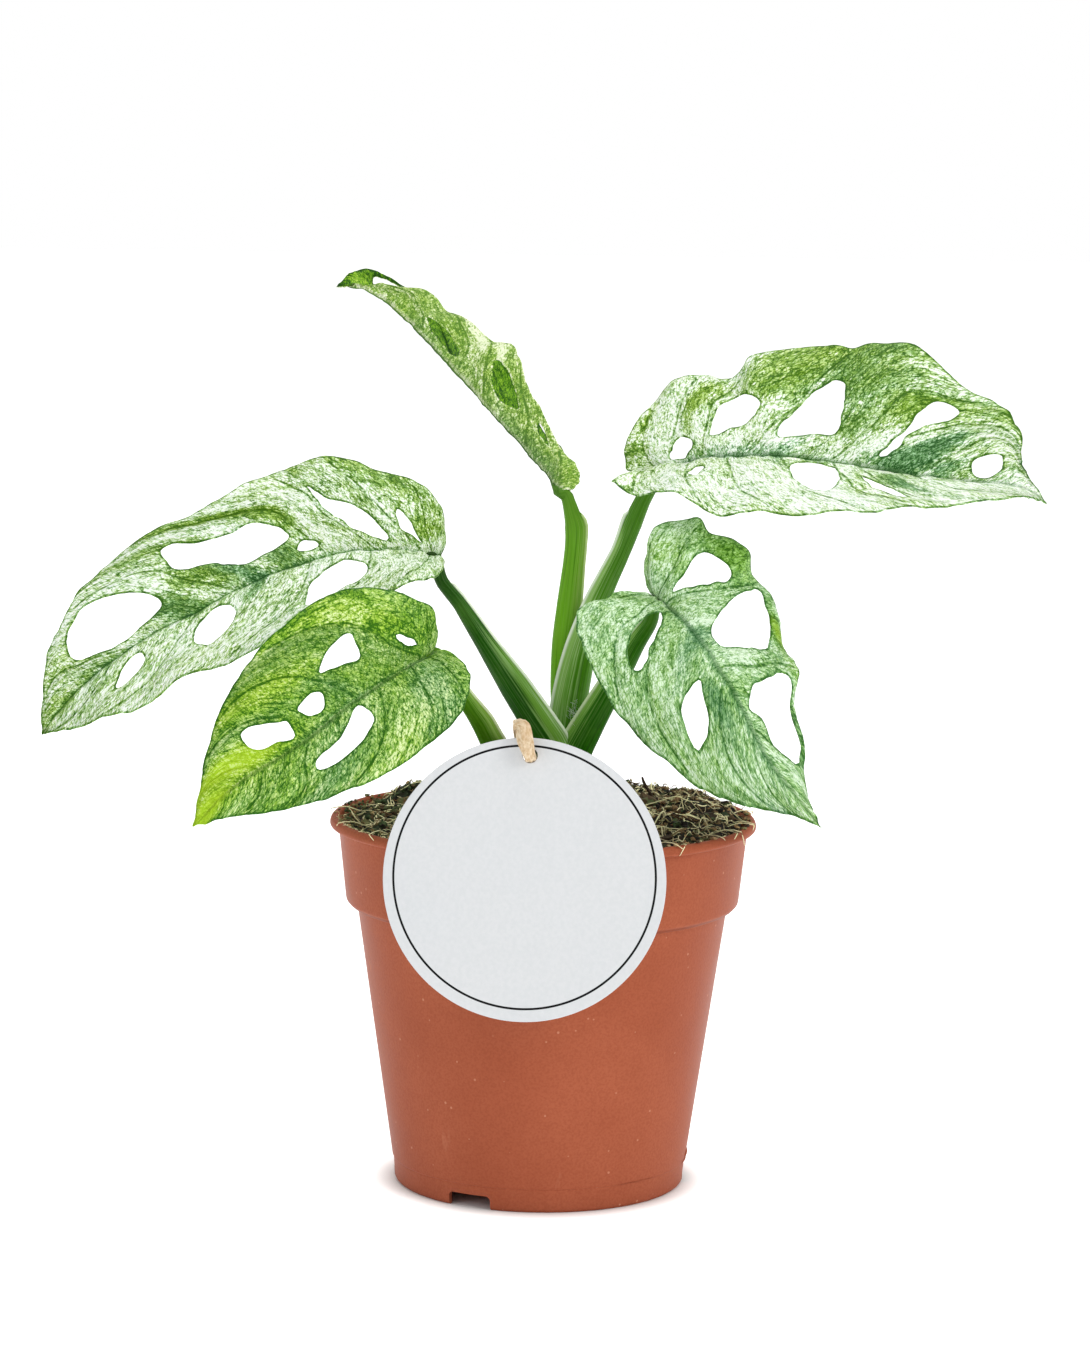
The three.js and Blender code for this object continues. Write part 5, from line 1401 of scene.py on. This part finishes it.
leaf_top = {
    "bow": (-0.3, -0.3),
    "wave": (0.5, 0.5, 2.6),
    "base": (0.69, 0.62),
    "upper_green": 0.2,
    "rows": [
        ((7, 7, 195.5), (4.5, 7, 195), (6.5, 9, 195)),
        ((9, 9, 198), (2.5, 11, 197), (7.5, 17, 198)),
        ((8, 11.5, 202), (0, 14.5, 200), (6.5, 24.5, 201)),
        ((4.5, 15.5, 205), (-4, 18.5, 203.5), (4, 30.5, 204.5)),
        ((1, 19.5, 210.5), (-8.5, 22.5, 208.5), (-0.5, 36.5, 209)),
        ((-2, 23.5, 216.5), (-13.5, 26.5, 213.5), (-4.5, 41.5, 214.5)),
        ((-6, 27, 222.5), (-18.5, 30, 218.5), (-7, 45, 219)),
        ((-8, 31, 229.5), (-23.5, 34, 223.5), (-11.5, 49, 226)),
        ((-11, 35, 234.5), (-28.5, 38, 228.5), (-16, 53, 231)),
        ((-17, 38.5, 235.5), (-33.5, 41.5, 233.5), (-21.5, 55.5, 234.5)),
        ((-23.5, 42.5, 241), (-38.5, 45.5, 238), (-27.5, 58.5, 238.5)),
        ((-29.5, 46.5, 243), (-43, 49.5, 242), (-34, 61.5, 243.5)),
        ((-35.5, 50.5, 248.5), (-47.5, 53.5, 245.5), (-43, 63.5, 250)),
        ((-48, 55, 250), (-53, 57, 248.5), (-50.5, 65, 253)),
        ((-55.5, 60, 249.5), (-58, 61, 249.5), (-57, 65, 254)),
        ((-62.5, 63, 249), (-62.5, 63, 249), (-62.5, 63, 249)),
    ],
    "holes": [
        ((-0.4, 10.4), (-0.44, 9.4), (-0.35, 8.7), (-0.17, 8.1), (-0.14, 8.8), (-0.22, 9.9)),
        ((-0.66, 7.4), (-0.76, 6.8), (-0.76, 6.1), (-0.54, 5.2), (-0.34, 5.6), (-0.38, 6.5)),
        ((-0.8, 4.5), (-0.86, 4), (-0.7, 3.4), (-0.62, 3.9)),
        ((0.8, 13.1), (0.84, 11.8), (0.56, 11.8), (0.46, 12.9)),
    ],
    "veins_left": [
        (0.6, 1.4, 2.4, 3.4), (3.5, 4.1, 4.9, 7), (5.8, 6.9, 7.9, 9.1), (7.5, 8.1, 9.2, 11),
        (9.7, 10.5, 12.2, 13.4),
    ],
    "veins_right": [
        (0.8, 1.5, 2.6, 3.6), (3.2, 4, 5, 6.6), (5.6, 6.6, 7.6, 9.4), (7.9, 8.6, 9.8, 11.4),
        (10, 10.8, 12, 13.2),
    ],
    "marks": [
        (-0.92, 9.5, 5, 4.4, -0.6, -0.1), (-0.86, 7.9, 6, 2.7, -0.55, 0), (-0.5, 8.4, 4, 1.6, -0.3, -0.1),
        (-0.04, 3, 3.6, 16, 0.5, -0.7), (-0.1, 9, 2.6, 12, 0.25, -0.3),
        (-0.85, 7.16, 2.7, 2.2, 0.3, 0), (-0.77, 5.88, 2.7, 4.4, 0.35, 0),
        (-0.36, 11.78, 6.6, 1.9, 0.3, 0.2), (-0.23, 6.94, 3.3, 3.3, -0.15, -0.1),
        (-0.42, 9.34, 3.3, 3.3, 0.1, 0.1), (0.6, 14, 6, 6, -0.35, 0.2),
    ],
    "petiole": [
        (5, 7.5, 194.5, 3.6), (6, 8, 192, 3.7), (7, 8, 188.5, 4.6), (8, 8, 185, 6.1), (8, 8, 180, 5.8),
        (7.5, 8, 174, 5.9), (6.5, 8, 163.5, 6.8), (5.4, 7.5, 152, 7.2), (5.2, 6.5, 140.5, 7.4),
        (5.6, 5.5, 129, 7.4), (5, 4.5, 119, 8.6), (5, 3.5, 109, 11),
    ],
}
young_skin = skin_finish(
    "young_skin", 1.05, -1.6, cloud_contrast=1.6, edge_line=-0.45,
    pale=(236, 243, 214), light_cool=(190, 214, 152), light_warm=(196, 218, 120),
    middle_cool=(110, 156, 66), middle_warm=(130, 172, 48), deep_cool=(46, 96, 16), deep_warm=(66, 124, 4),
)
young_inside = skin_finish(
    "young_inside", 0.9, -0.9, cloud_contrast=1.1,
    pale=(176, 210, 84), light_cool=(134, 180, 58), light_warm=(150, 196, 44),
    middle_cool=(82, 136, 24), middle_warm=(98, 156, 14), deep_cool=(26, 70, 4), deep_warm=(36, 86, 0),
)
grow_blade("top", leaf_top, 3, young_skin, "leaf_young", young_inside)
grow_petiole(
    "top", leaf_top, (2.2, 1, 1.0, 0.5, 0),
    stalk_finish(
        "young_green", (62, 106, 26), (112, 176, 32), (128, 170, 60), (50, 98, 12), (196, 218, 150),
    ),
)

# RIGHT LEAF
# The largest leaf. Its near half is almost white, its far half olive green, and a deep blue green
# sector runs out to the tip.

leaf_right = {
    "bow": (0.06, 0.08),
    "wave": (1.1, 0.4, 2.3),
    "base": (0.2, 0.48),
    "rows": [
        ((25, 8, 199.5), (30.5, 6, 201), (24, 4, 199)),
        ((22.5, 10.5, 201), (33.5, 5.5, 202), (21, -0.5, 198.5)),
        ((21.5, 13.5, 206), (36, 4.5, 203), (18, -5.5, 199)),
        ((24, 17, 211.5), (39.5, 4, 204), (23.5, -10, 196)),
        ((29.5, 20, 220.5), (44, 3, 205), (31, -17, 197.5)),
        ((35.5, 22.5, 225), (48, 2.5, 205.5), (38, -23.5, 196)),
        ((43.5, 23, 227.5), (53, 2, 206), (47, -27, 192)),
        ((52, 23, 226.5), (58.5, 1, 206), (56.5, -29, 193.5)),
        ((59.5, 23.5, 233.5), (64.5, 0.5, 206), (66.5, -30.5, 193)),
        ((75.5, 23, 236), (73, 0, 205.5), (76, -31, 193.5)),
        ((84.5, 22, 235), (80.5, -1, 204.5), (85, -31, 194)),
        ((93, 20.5, 237.5), (88, -1.5, 203.5), (95, -29.5, 195)),
        ((104, 19, 235.5), (95.5, -2, 202), (104, -28, 195)),
        ((115.5, 16, 226.5), (103.5, -3, 201), (113, -25, 196)),
        ((126.5, 12.5, 220), (112, -3.5, 200), (122, -20.5, 196.5)),
        ((132, 6.5, 213), (121, -4.5, 199.5), (129.5, -16.5, 197.5)),
        ((132.5, 1, 204), (130, -5, 198.5), (133.5, -11, 196.5)),
        ((138.5, -6, 194.5), (138.5, -6, 194.5), (138.5, -6, 194.5)),
    ],
    "holes": [
        ((-0.37, 4), (-0.27, 4.2), (-0.16, 3.7), (-0.1, 2.8), (-0.16, 2.4), (-0.35, 3.4)),
        ((-0.65, 7.5), (-0.5, 7.9), (-0.4, 7.2), (-0.3, 6.1), (-0.26, 5.2), (-0.42, 5.7), (-0.72, 6.9)),
        ((-0.69, 9.8), (-0.62, 10.2), (-0.31, 10.1), (-0.2, 9), (-0.19, 8.1), (-0.38, 8.6), (-0.58, 9.2)),
        (
            (-0.72, 12.8), (-0.75, 13.4), (-0.59, 13.1), (-0.37, 12.5), (-0.16, 12), (-0.1, 11.5),
            (-0.34, 12.2),
        ),
        ((-0.42, 14.6), (-0.54, 15), (-0.38, 15.3), (-0.14, 15.1), (-0.12, 14.6), (-0.26, 14.3)),
        ((0.14, 8.5), (0.14, 9.8), (0.36, 9.9), (0.68, 9.3), (0.5, 8.5), (0.29, 8.3)),
        ((0.31, 10.6), (0.56, 11.2), (0.8, 11.6), (0.8, 11.2), (0.6, 10.7)),
        ((0.5, 4.4), (0.33, 4.5), (0.33, 4.9), (0.53, 4.9)),
    ],
    "veins_left": [
        (0.4, 1.4, 2.5, 4.1), (2.1, 3.2, 4.7, 6), (3.8, 5.2, 6.2, 7.7), (6.3, 8.3, 9.2, 10.3),
        (9.7, 11.3, 12.2, 14), (10.9, 12.5, 13.7, 15.6), (12.9, 13.8, 14.5, 16.2),
    ],
    "veins_right": [
        (0.5, 1.7, 2.4, 3), (3.2, 4, 4.6, 5.6), (5.4, 6.1, 6.6, 7.6), (8, 8.3, 8.7, 10.2),
        (9.8, 10, 10.3, 11.6), (10.8, 11, 11.5, 13), (12.8, 13.1, 13.7, 15.6),
    ],
    "marks": [
        (-0.82, 8.58, 15, 5.8, 0.66, 0.5), (-0.92, 10.88, 9.2, 6, 0.84, 0.25),
        (-0.73, 5.84, 5.8, 5, 0.38, 0.45), (-0.64, 10.9, 7, 9.2, 0.62, 0), (-0.5, 4.7, 9, 2.4, 0.35, 0.3),
        (-0.34, 10.56, 6, 4.6, 0.65, 0.05), (-0.54, 12.36, 8, 3.6, 0.45, 0.3),
        (-0.2, 12.9, 9, 4.2, 0.85, -0.5), (-0.4, 13.3, 5, 3, 0.45, -0.3), (-0.12, 13.8, 5, 2.6, 0.5, -0.4),
        (-0.1, 12.2, 4, 7, 0.4, -0.5), (-0.6, 12.2, 8, 3.4, 0.3, 0.1),
        (0.49, 11.72, 5.8, 2.9, 0.75, -0.4), (-0.04, 8.06, 9.2, 1.5, 0.45, -0.4),
        (0.8, 8.22, 25, 2.5, -0.1, 0), (-0.93, 13.94, 5, 5, -0.15, 0), (-0.99, 16.44, 4.2, 5, 0.35, 0.1),
        (-0.2, 8.52, 6.7, 3.3, -0.15, 0),
        (0.6, 8, 14, 18, -0.14, -0.1), (-0.5, 16, 8, 5, 0.0, -0.2), (0.5, 15, 9, 10, -0.14, -0.15),
        (-0.04, 6, 3.2, 24, 0.3, -0.4),
        (-0.75, 9.6, 8, 5, 0.35, 0.1), (-0.85, 3.2, 10, 3, 0.2, 0.3),
    ],
    "petiole": [
        (30, 6, 200, 4), (28.5, 6, 196.5, 4.5), (26.5, 5.5, 192.5, 4.6), (24, 5.5, 186.5, 5.4),
        (21, 5, 178.5, 5), (17, 4.5, 170, 5.9), (14, 4, 163, 7), (10.5, 3.5, 152.5, 8.4),
        (8.5, 3, 144, 9.4), (7, 2.5, 135, 10), (6.2, 2.4, 125.5, 10.4), (6, 2.6, 117, 12.6),
        (5.6, 2, 108, 14),
    ],
}
grow_blade("right", leaf_right, 4, mint_skin, "leaf_mint")
grow_petiole(
    "right", leaf_right, (2.6, -1, 1.1, 0.6, 0.45),
    stalk_finish("right_green", (64, 106, 24), (76, 140, 16), (144, 186, 100), (42, 90, 6), (222, 234, 212)),
)

# LOW RIGHT LEAF
# The grey green leaf that hangs over the right of the pot, with white flecks, fresh green round
# its upper lobe and outer strip, and blue green along the midrib.

leaf_low_right = {
    "bow": (0.16, 0.1),
    "wave": (0.6, 0.6, 2.4),
    "base": (0.43, 0.42),
    "rows": [
        ((29, -21, 171.5), (30, -22, 168.5), (27.5, -22, 168.5)),
        ((27, -19.5, 177.5), (30.5, -23.5, 168.5), (23, -24.5, 170)),
        ((27.5, -18, 182.5), (31, -25, 168.5), (18.5, -27, 170)),
        ((30.5, -16.5, 187.5), (31.5, -26.5, 168), (15, -29.5, 167.5)),
        ((37, -16, 190), (32.5, -28, 167.5), (11.5, -32, 167.5)),
        ((42, -15.5, 190), (33.5, -29.5, 166.5), (9, -34.5, 166.5)),
        ((44.5, -16, 186.5), (35, -31, 165.5), (8.5, -37, 162)),
        ((51.5, -16.5, 184.5), (37, -32.5, 164), (10, -38.5, 157.5)),
        ((56, -16, 180.5), (39, -34, 161.5), (12.5, -40, 152)),
        ((56.5, -15.5, 175), (41.5, -35.5, 158.5), (15.5, -41.5, 146.5)),
        ((60.5, -15, 170), (44, -37, 155.5), (19.5, -43, 140)),
        ((64.5, -16.5, 163), (46.5, -38.5, 151.5), (24.5, -43.5, 134.5)),
        ((66, -18, 154.5), (49.5, -40, 147.5), (31, -45, 128.5)),
        ((69.5, -21.5, 148), (53, -41.5, 141), (39, -45.5, 122)),
        ((68.5, -27, 139.5), (56.5, -43, 134), (47, -46, 117.5)),
        ((70.5, -34.5, 128.5), (61, -44.5, 126), (56.5, -46.5, 115)),
        ((71.5, -41, 117.5), (66.5, -46, 119.5), (65.5, -47, 113)),
        ((75, -50, 110.5), (75, -50, 110.5), (75, -50, 110.5)),
    ],
    "holes": [
        ((-0.68, 6.2), (-0.7, 7), (-0.63, 8.3), (-0.44, 7.6), (-0.3, 6.6), (-0.18, 5.2), (-0.4, 5.9)),
        (
            (-0.86, 9.6), (-0.86, 10.5), (-0.66, 11.8), (-0.36, 11.2), (-0.14, 10.3), (-0.22, 9.2),
            (-0.5, 9.2),
        ),
        (
            (-0.73, 12.8), (-0.86, 14), (-0.84, 15.2), (-0.68, 15.3), (-0.26, 14.6), (-0.22, 13.8),
            (-0.1, 13.2),
            (-0.26, 12.6),
        ),
        ((0.14, 5.8), (0.18, 7), (0.38, 8.2), (0.61, 9.3), (0.68, 9), (0.57, 7.6), (0.3, 6.4)),
        ((0.21, 11), (0.26, 11.6), (0.48, 12.7), (0.66, 12.8), (0.63, 12.1), (0.4, 11.2)),
    ],
    "veins_left": [
        (0.9, 1.5, 2.4, 3.3), (2.4, 4.6, 5, 5.4), (4.2, 7.4, 8.8, 9.6), (11, 12, 12.3, 12.8),
        (13.7, 14.8, 15.3, 15.9),
    ],
    "veins_right": [
        (0.8, 1.8, 2.6, 3.4), (2.7, 5.9, 7.3, 10.4), (5.2, 8.1, 10.1, 13.6), (11.7, 12.9, 14.6, 16),
        (13.9, 15, 15.8, 16.6),
    ],
    "marks": [
        (-0.59, 3.56, 5.4, 6, 0.0, 0.4), (-0.86, 7.24, 6.6, 4.2, 0.36, 0.5),
        (-0.9, 11.4, 3.4, 7.4, 0.65, 0.9), (-0.4, 6.18, 3.6, 2.4, 0.35, 0.2),
        (-0.03, 8.64, 6, 3.6, 0.35, -0.4), (0.2, 12.22, 2.7, 5.4, 0.4, -0.4),
        (0.27, 9.92, 4.8, 3.6, 0.05, -0.3), (-0.24, 9.78, 3.6, 3, -0.3, 0),
        (-0.35, 11.56, 4.2, 2.4, -0.2, 0), (0.96, 13.76, 9.6, 2.4, 0, 0.25),
        (0.12, 16.52, 4.2, 3.6, -0.2, 0.2), (-0.95, 13, 2.4, 4.4, -0.12, 0.4),
    ],
    "petiole": [
        (30, -20.5, 168, 3.2), (29.5, -19, 164.5, 3.6), (28.5, -17, 161, 4.3), (25, -13.5, 155, 5.4),
        (21, -10, 147, 6.5), (16.5, -7, 138.5, 7.6), (11.5, -4.5, 129, 9), (8.5, -3, 122.5, 9.8),
        (7.2, -1, 115.5, 12), (6, 0, 108, 14),
    ],
}
green_skin = skin_finish(
    "green_skin", 0.76, 0.5, cloud_contrast=0.7,
    pale=(216, 236, 210), light_cool=(166, 202, 158), light_warm=(176, 212, 130),
    middle_cool=(110, 156, 108), middle_warm=(110, 160, 56), deep_cool=(50, 102, 52), deep_warm=(52, 100, 8),
)
grow_blade("low_right", leaf_low_right, 5, green_skin, "leaf_green")
grow_petiole(
    "low_right", leaf_low_right, (1.6, -1, 0.9, 0.6, 0),
    stalk_finish(
        "low_right_green", (60, 120, 6), (34, 102, 0), (120, 170, 66), (14, 66, 0), (206, 224, 182),
    ),
)

# HAIRS AT THE CROWN
# A tuft of short white fibres where the sheaths part, each as fine as a thread and slightly curled,
# so that the crown has a pale fuzz.

hair_bundle = ([], [], [])
for _ in range(34):
    foot = Vector((chance.gauss(8.4, 0.7), -6.2 + chance.gauss(0, 0.3), chance.gauss(134, 1.3)))
    lean = Vector((chance.gauss(-0.3, 0.5), -0.4, chance.gauss(0.8, 0.5))).normalized()
    route = []
    for k in range(7):
        curl = 0.04 * k * k * chance.uniform(-0.5, 0.5)
        route.append(foot + lean * (0.26 * k) + Vector((curl, 0, 0)))
    spin_fibre(hair_bundle, route, 0.035, 1.0)
hair_white, tree = new_finish("hair_white", 0.6)
fuzz = noise_of(tree, put(tree, "TexCoord")["Object"], 900, 2)
lay_on(tree, glazed(tree, (196, 214, 196), (fuzz, (236, 240, 232))))
fit_piece(new_piece("crown_hairs", hair_bundle[0], hair_bundle[1], hair_white, 180), "petiole")

# HANG TAG
# A round card, die cut with one hole, that hangs on the raffia and leans on the pot's lip. It is
# printed with a thin ring, and its middle is left bare.

TAG_RADIUS = 38
TAG_THICK = 0.8
TAG_X = 0.5
TAG_Z = 96.9
TAG_LEAN = math.radians(7)
TAG_SIDES = 192
TAG_SOFT = 0.12
HOLE_RADIUS = 2
HOLE_Y = TAG_RADIUS - 4.7
RING_RADIUS = 35.2


def loop_faces(rings, sides):
    """The faces of a body whose last ring of points joins its first."""
    faces = []
    for i in range(rings):
        low, high = i * sides, (i + 1) % rings * sides
        for j in range(sides):
            after = (j + 1) % sides
            faces.append((low + j, low + after, high + after, high + j))
    return faces


touch = (POT_HEIGHT + LIP_FOOT) / 2
tag_y = -(LIP_RADIUS + 0.3 + (touch - TAG_Z) * math.tan(TAG_LEAN))
tag_place = (
    Matrix.Rotation(math.radians(-5), 4, "Z")
    @ Matrix.Translation((TAG_X, tag_y, TAG_Z))
    @ Matrix.Rotation(math.pi / 2 - TAG_LEAN, 4, "X")
    @ Matrix.Rotation(math.radians(-1.4), 4, "Z")
)
levels = ((0, TAG_SOFT), (TAG_SOFT, 0), (TAG_THICK - TAG_SOFT, 0), (TAG_THICK, TAG_SOFT))
tag_points = []
for z, inset in levels:
    tag_points += [(x, y, z) for x, y in circle(TAG_RADIUS - inset, TAG_SIDES)]
for z, inset in reversed(levels):
    tag_points += [(x, HOLE_Y + y, z) for x, y in circle(HOLE_RADIUS + inset, TAG_SIDES)]

card, tree = new_finish("tag_card", 0.5, 0.15)
flat = put(tree, "UVMap", uv_map="face")["UV"]
place = put(tree, "TexCoord")["Object"]
own = put(tree, "VectorMath", {0: flat, 1: (0.5, 0.5086, 0)}, operation="SUBTRACT")["Vector"]
reach = put(tree, "VectorMath", {0: own}, operation="LENGTH")["Value"]
off_ring = counted(tree, "ABSOLUTE", counted(tree, "SUBTRACT", reach, RING_RADIUS / (2 * TAG_RADIUS)))
front = ranged(tree, mark_of(tree, "front"), 0.4, 0.6)
pulp = noise_of(tree, place, 900, 4, 0.6)
tone = glazed(
    tree, (200, 203, 205),
    (ranged(tree, pulp, 0.3, 0.7), (205, 207, 209)),
    (ranged(tree, noise_of(tree, place, 30, 2), 0.35, 0.75, 0, 0.12), (192, 199, 205)),
    (counted(tree, "MULTIPLY", ranged(tree, off_ring, 0.0046, 0.0032), front), (6, 6, 7)),
)
lay_on(tree, tone, pulp, 0.15, 0.0001)
tag_faces = loop_faces(2 * len(levels), TAG_SIDES)
tag = new_piece("hang_tag", [tag_place @ Vector(p) for p in tag_points], tag_faces, card, 30)
mark_points(tag, "front", [z > TAG_THICK / 2 for _, _, z in tag_points])
lay_flat(tag, "face", [(x / (2 * TAG_RADIUS) + 0.5, y / (2 * TAG_RADIUS) + 0.5) for x, y, _ in tag_points])
fit_piece(tag, "card", "tag")

# RAFFIA TIE
# One loop of raffia, a torn strip of palm leaf rolled between the fingers: through the tag's hole,
# over its edge and round the sheaths.

tie_route = [
    (-3.7, -55, 129.6, 3.2), (-3.75, -58.4, 129.7, 3.2), (-3.95, -60.7, 131, 3.3), (-5, -60.6, 134.6, 4.2),
    (-6.1, -57.8, 138.4, 4.3), (-6.6, -53.6, 136.9, 3.4), (-6.4, -40, 131, 2.6), (-5.6, -26, 126.8, 2.6),
    (-4.6, -14, 124.2, 2.6), (-4.4, -4, 123, 2.6), (-3.6, 5, 122, 2.6), (1.5, 11.5, 120.5, 2.6),
    (9.5, 11.5, 119.2, 2.6), (15, 5, 117.8, 2.6), (15.6, -4, 117, 2.6), (11, -11, 117.8, 2.6),
    (3.5, -17, 119.8, 2.6), (-1, -30, 123.2, 2.6), (-3.3, -45, 126.9, 3),
]
TIE_STEPS = 260
TIE_SIDES = 28
closed_route = np.array(tie_route[-2:] + tie_route + tie_route[:3], dtype=float)
tie_rows = 2 + np.arange(TIE_STEPS) * len(tie_route) / TIE_STEPS
tie_ahead = unit(along(closed_route[:, :3], tie_rows + 0.05) - along(closed_route[:, :3], tie_rows - 0.05))
tie_points = []
tie_flat = []
previous_side = None
for i, (place, ahead) in enumerate(zip(along(closed_route, tie_rows), tie_ahead)):
    centre, wide = place[:3], place[3] / 2
    flatness = 1 - 0.5 * min(1, max(0, (wide - 1.4) / 0.9))
    side = unit(np.cross(ahead, (0, 0.8, 0.6)))
    if previous_side is not None and np.dot(side, previous_side) < 0:
        side = -side
    previous_side = side
    over = np.cross(side, ahead)
    for j, (x, y) in enumerate(circle(1, TIE_SIDES)):
        angle = 2 * math.pi * j / TIE_SIDES
        strand = 1 + 0.09 * math.sin(7 * angle + 0.12 * i) + 0.06 * math.sin(4 * angle - 0.07 * i)
        strand += 0.05 * noise.noise((i * 0.11, x * 2, y * 2))
        tie_points.append(centre + (side * x + over * (y * flatness)) * wide * strand)
        tie_flat.append((j / TIE_SIDES, i / TIE_STEPS))

raffia, tree = new_finish("raffia", 0.75)
drawn = put(tree, "Mapping", {"Vector": put(tree, "UVMap", uv_map="wound")["UV"], "Scale": (14, 60, 1)})
strands = noise_of(tree, drawn["Vector"], 1.0, 4, 0.65)
blotch = noise_of(tree, put(tree, "TexCoord")["Object"], 260, 3)
tone = glazed(
    tree, (188, 158, 120),
    (ranged(tree, strands, 0.34, 0.66), (222, 204, 174)),
    (ranged(tree, blotch, 0.45, 0.7, 0, 0.4), (206, 174, 134)),
)
lay_on(tree, tone, strands, 0.8, 0.0003)
tie = new_piece("raffia_tie", tie_points, loop_faces(TIE_STEPS, TIE_SIDES), raffia, 180)
lay_flat(tie, "wound", tie_flat)
fit_piece(tie, "raffia", "tag_tie")
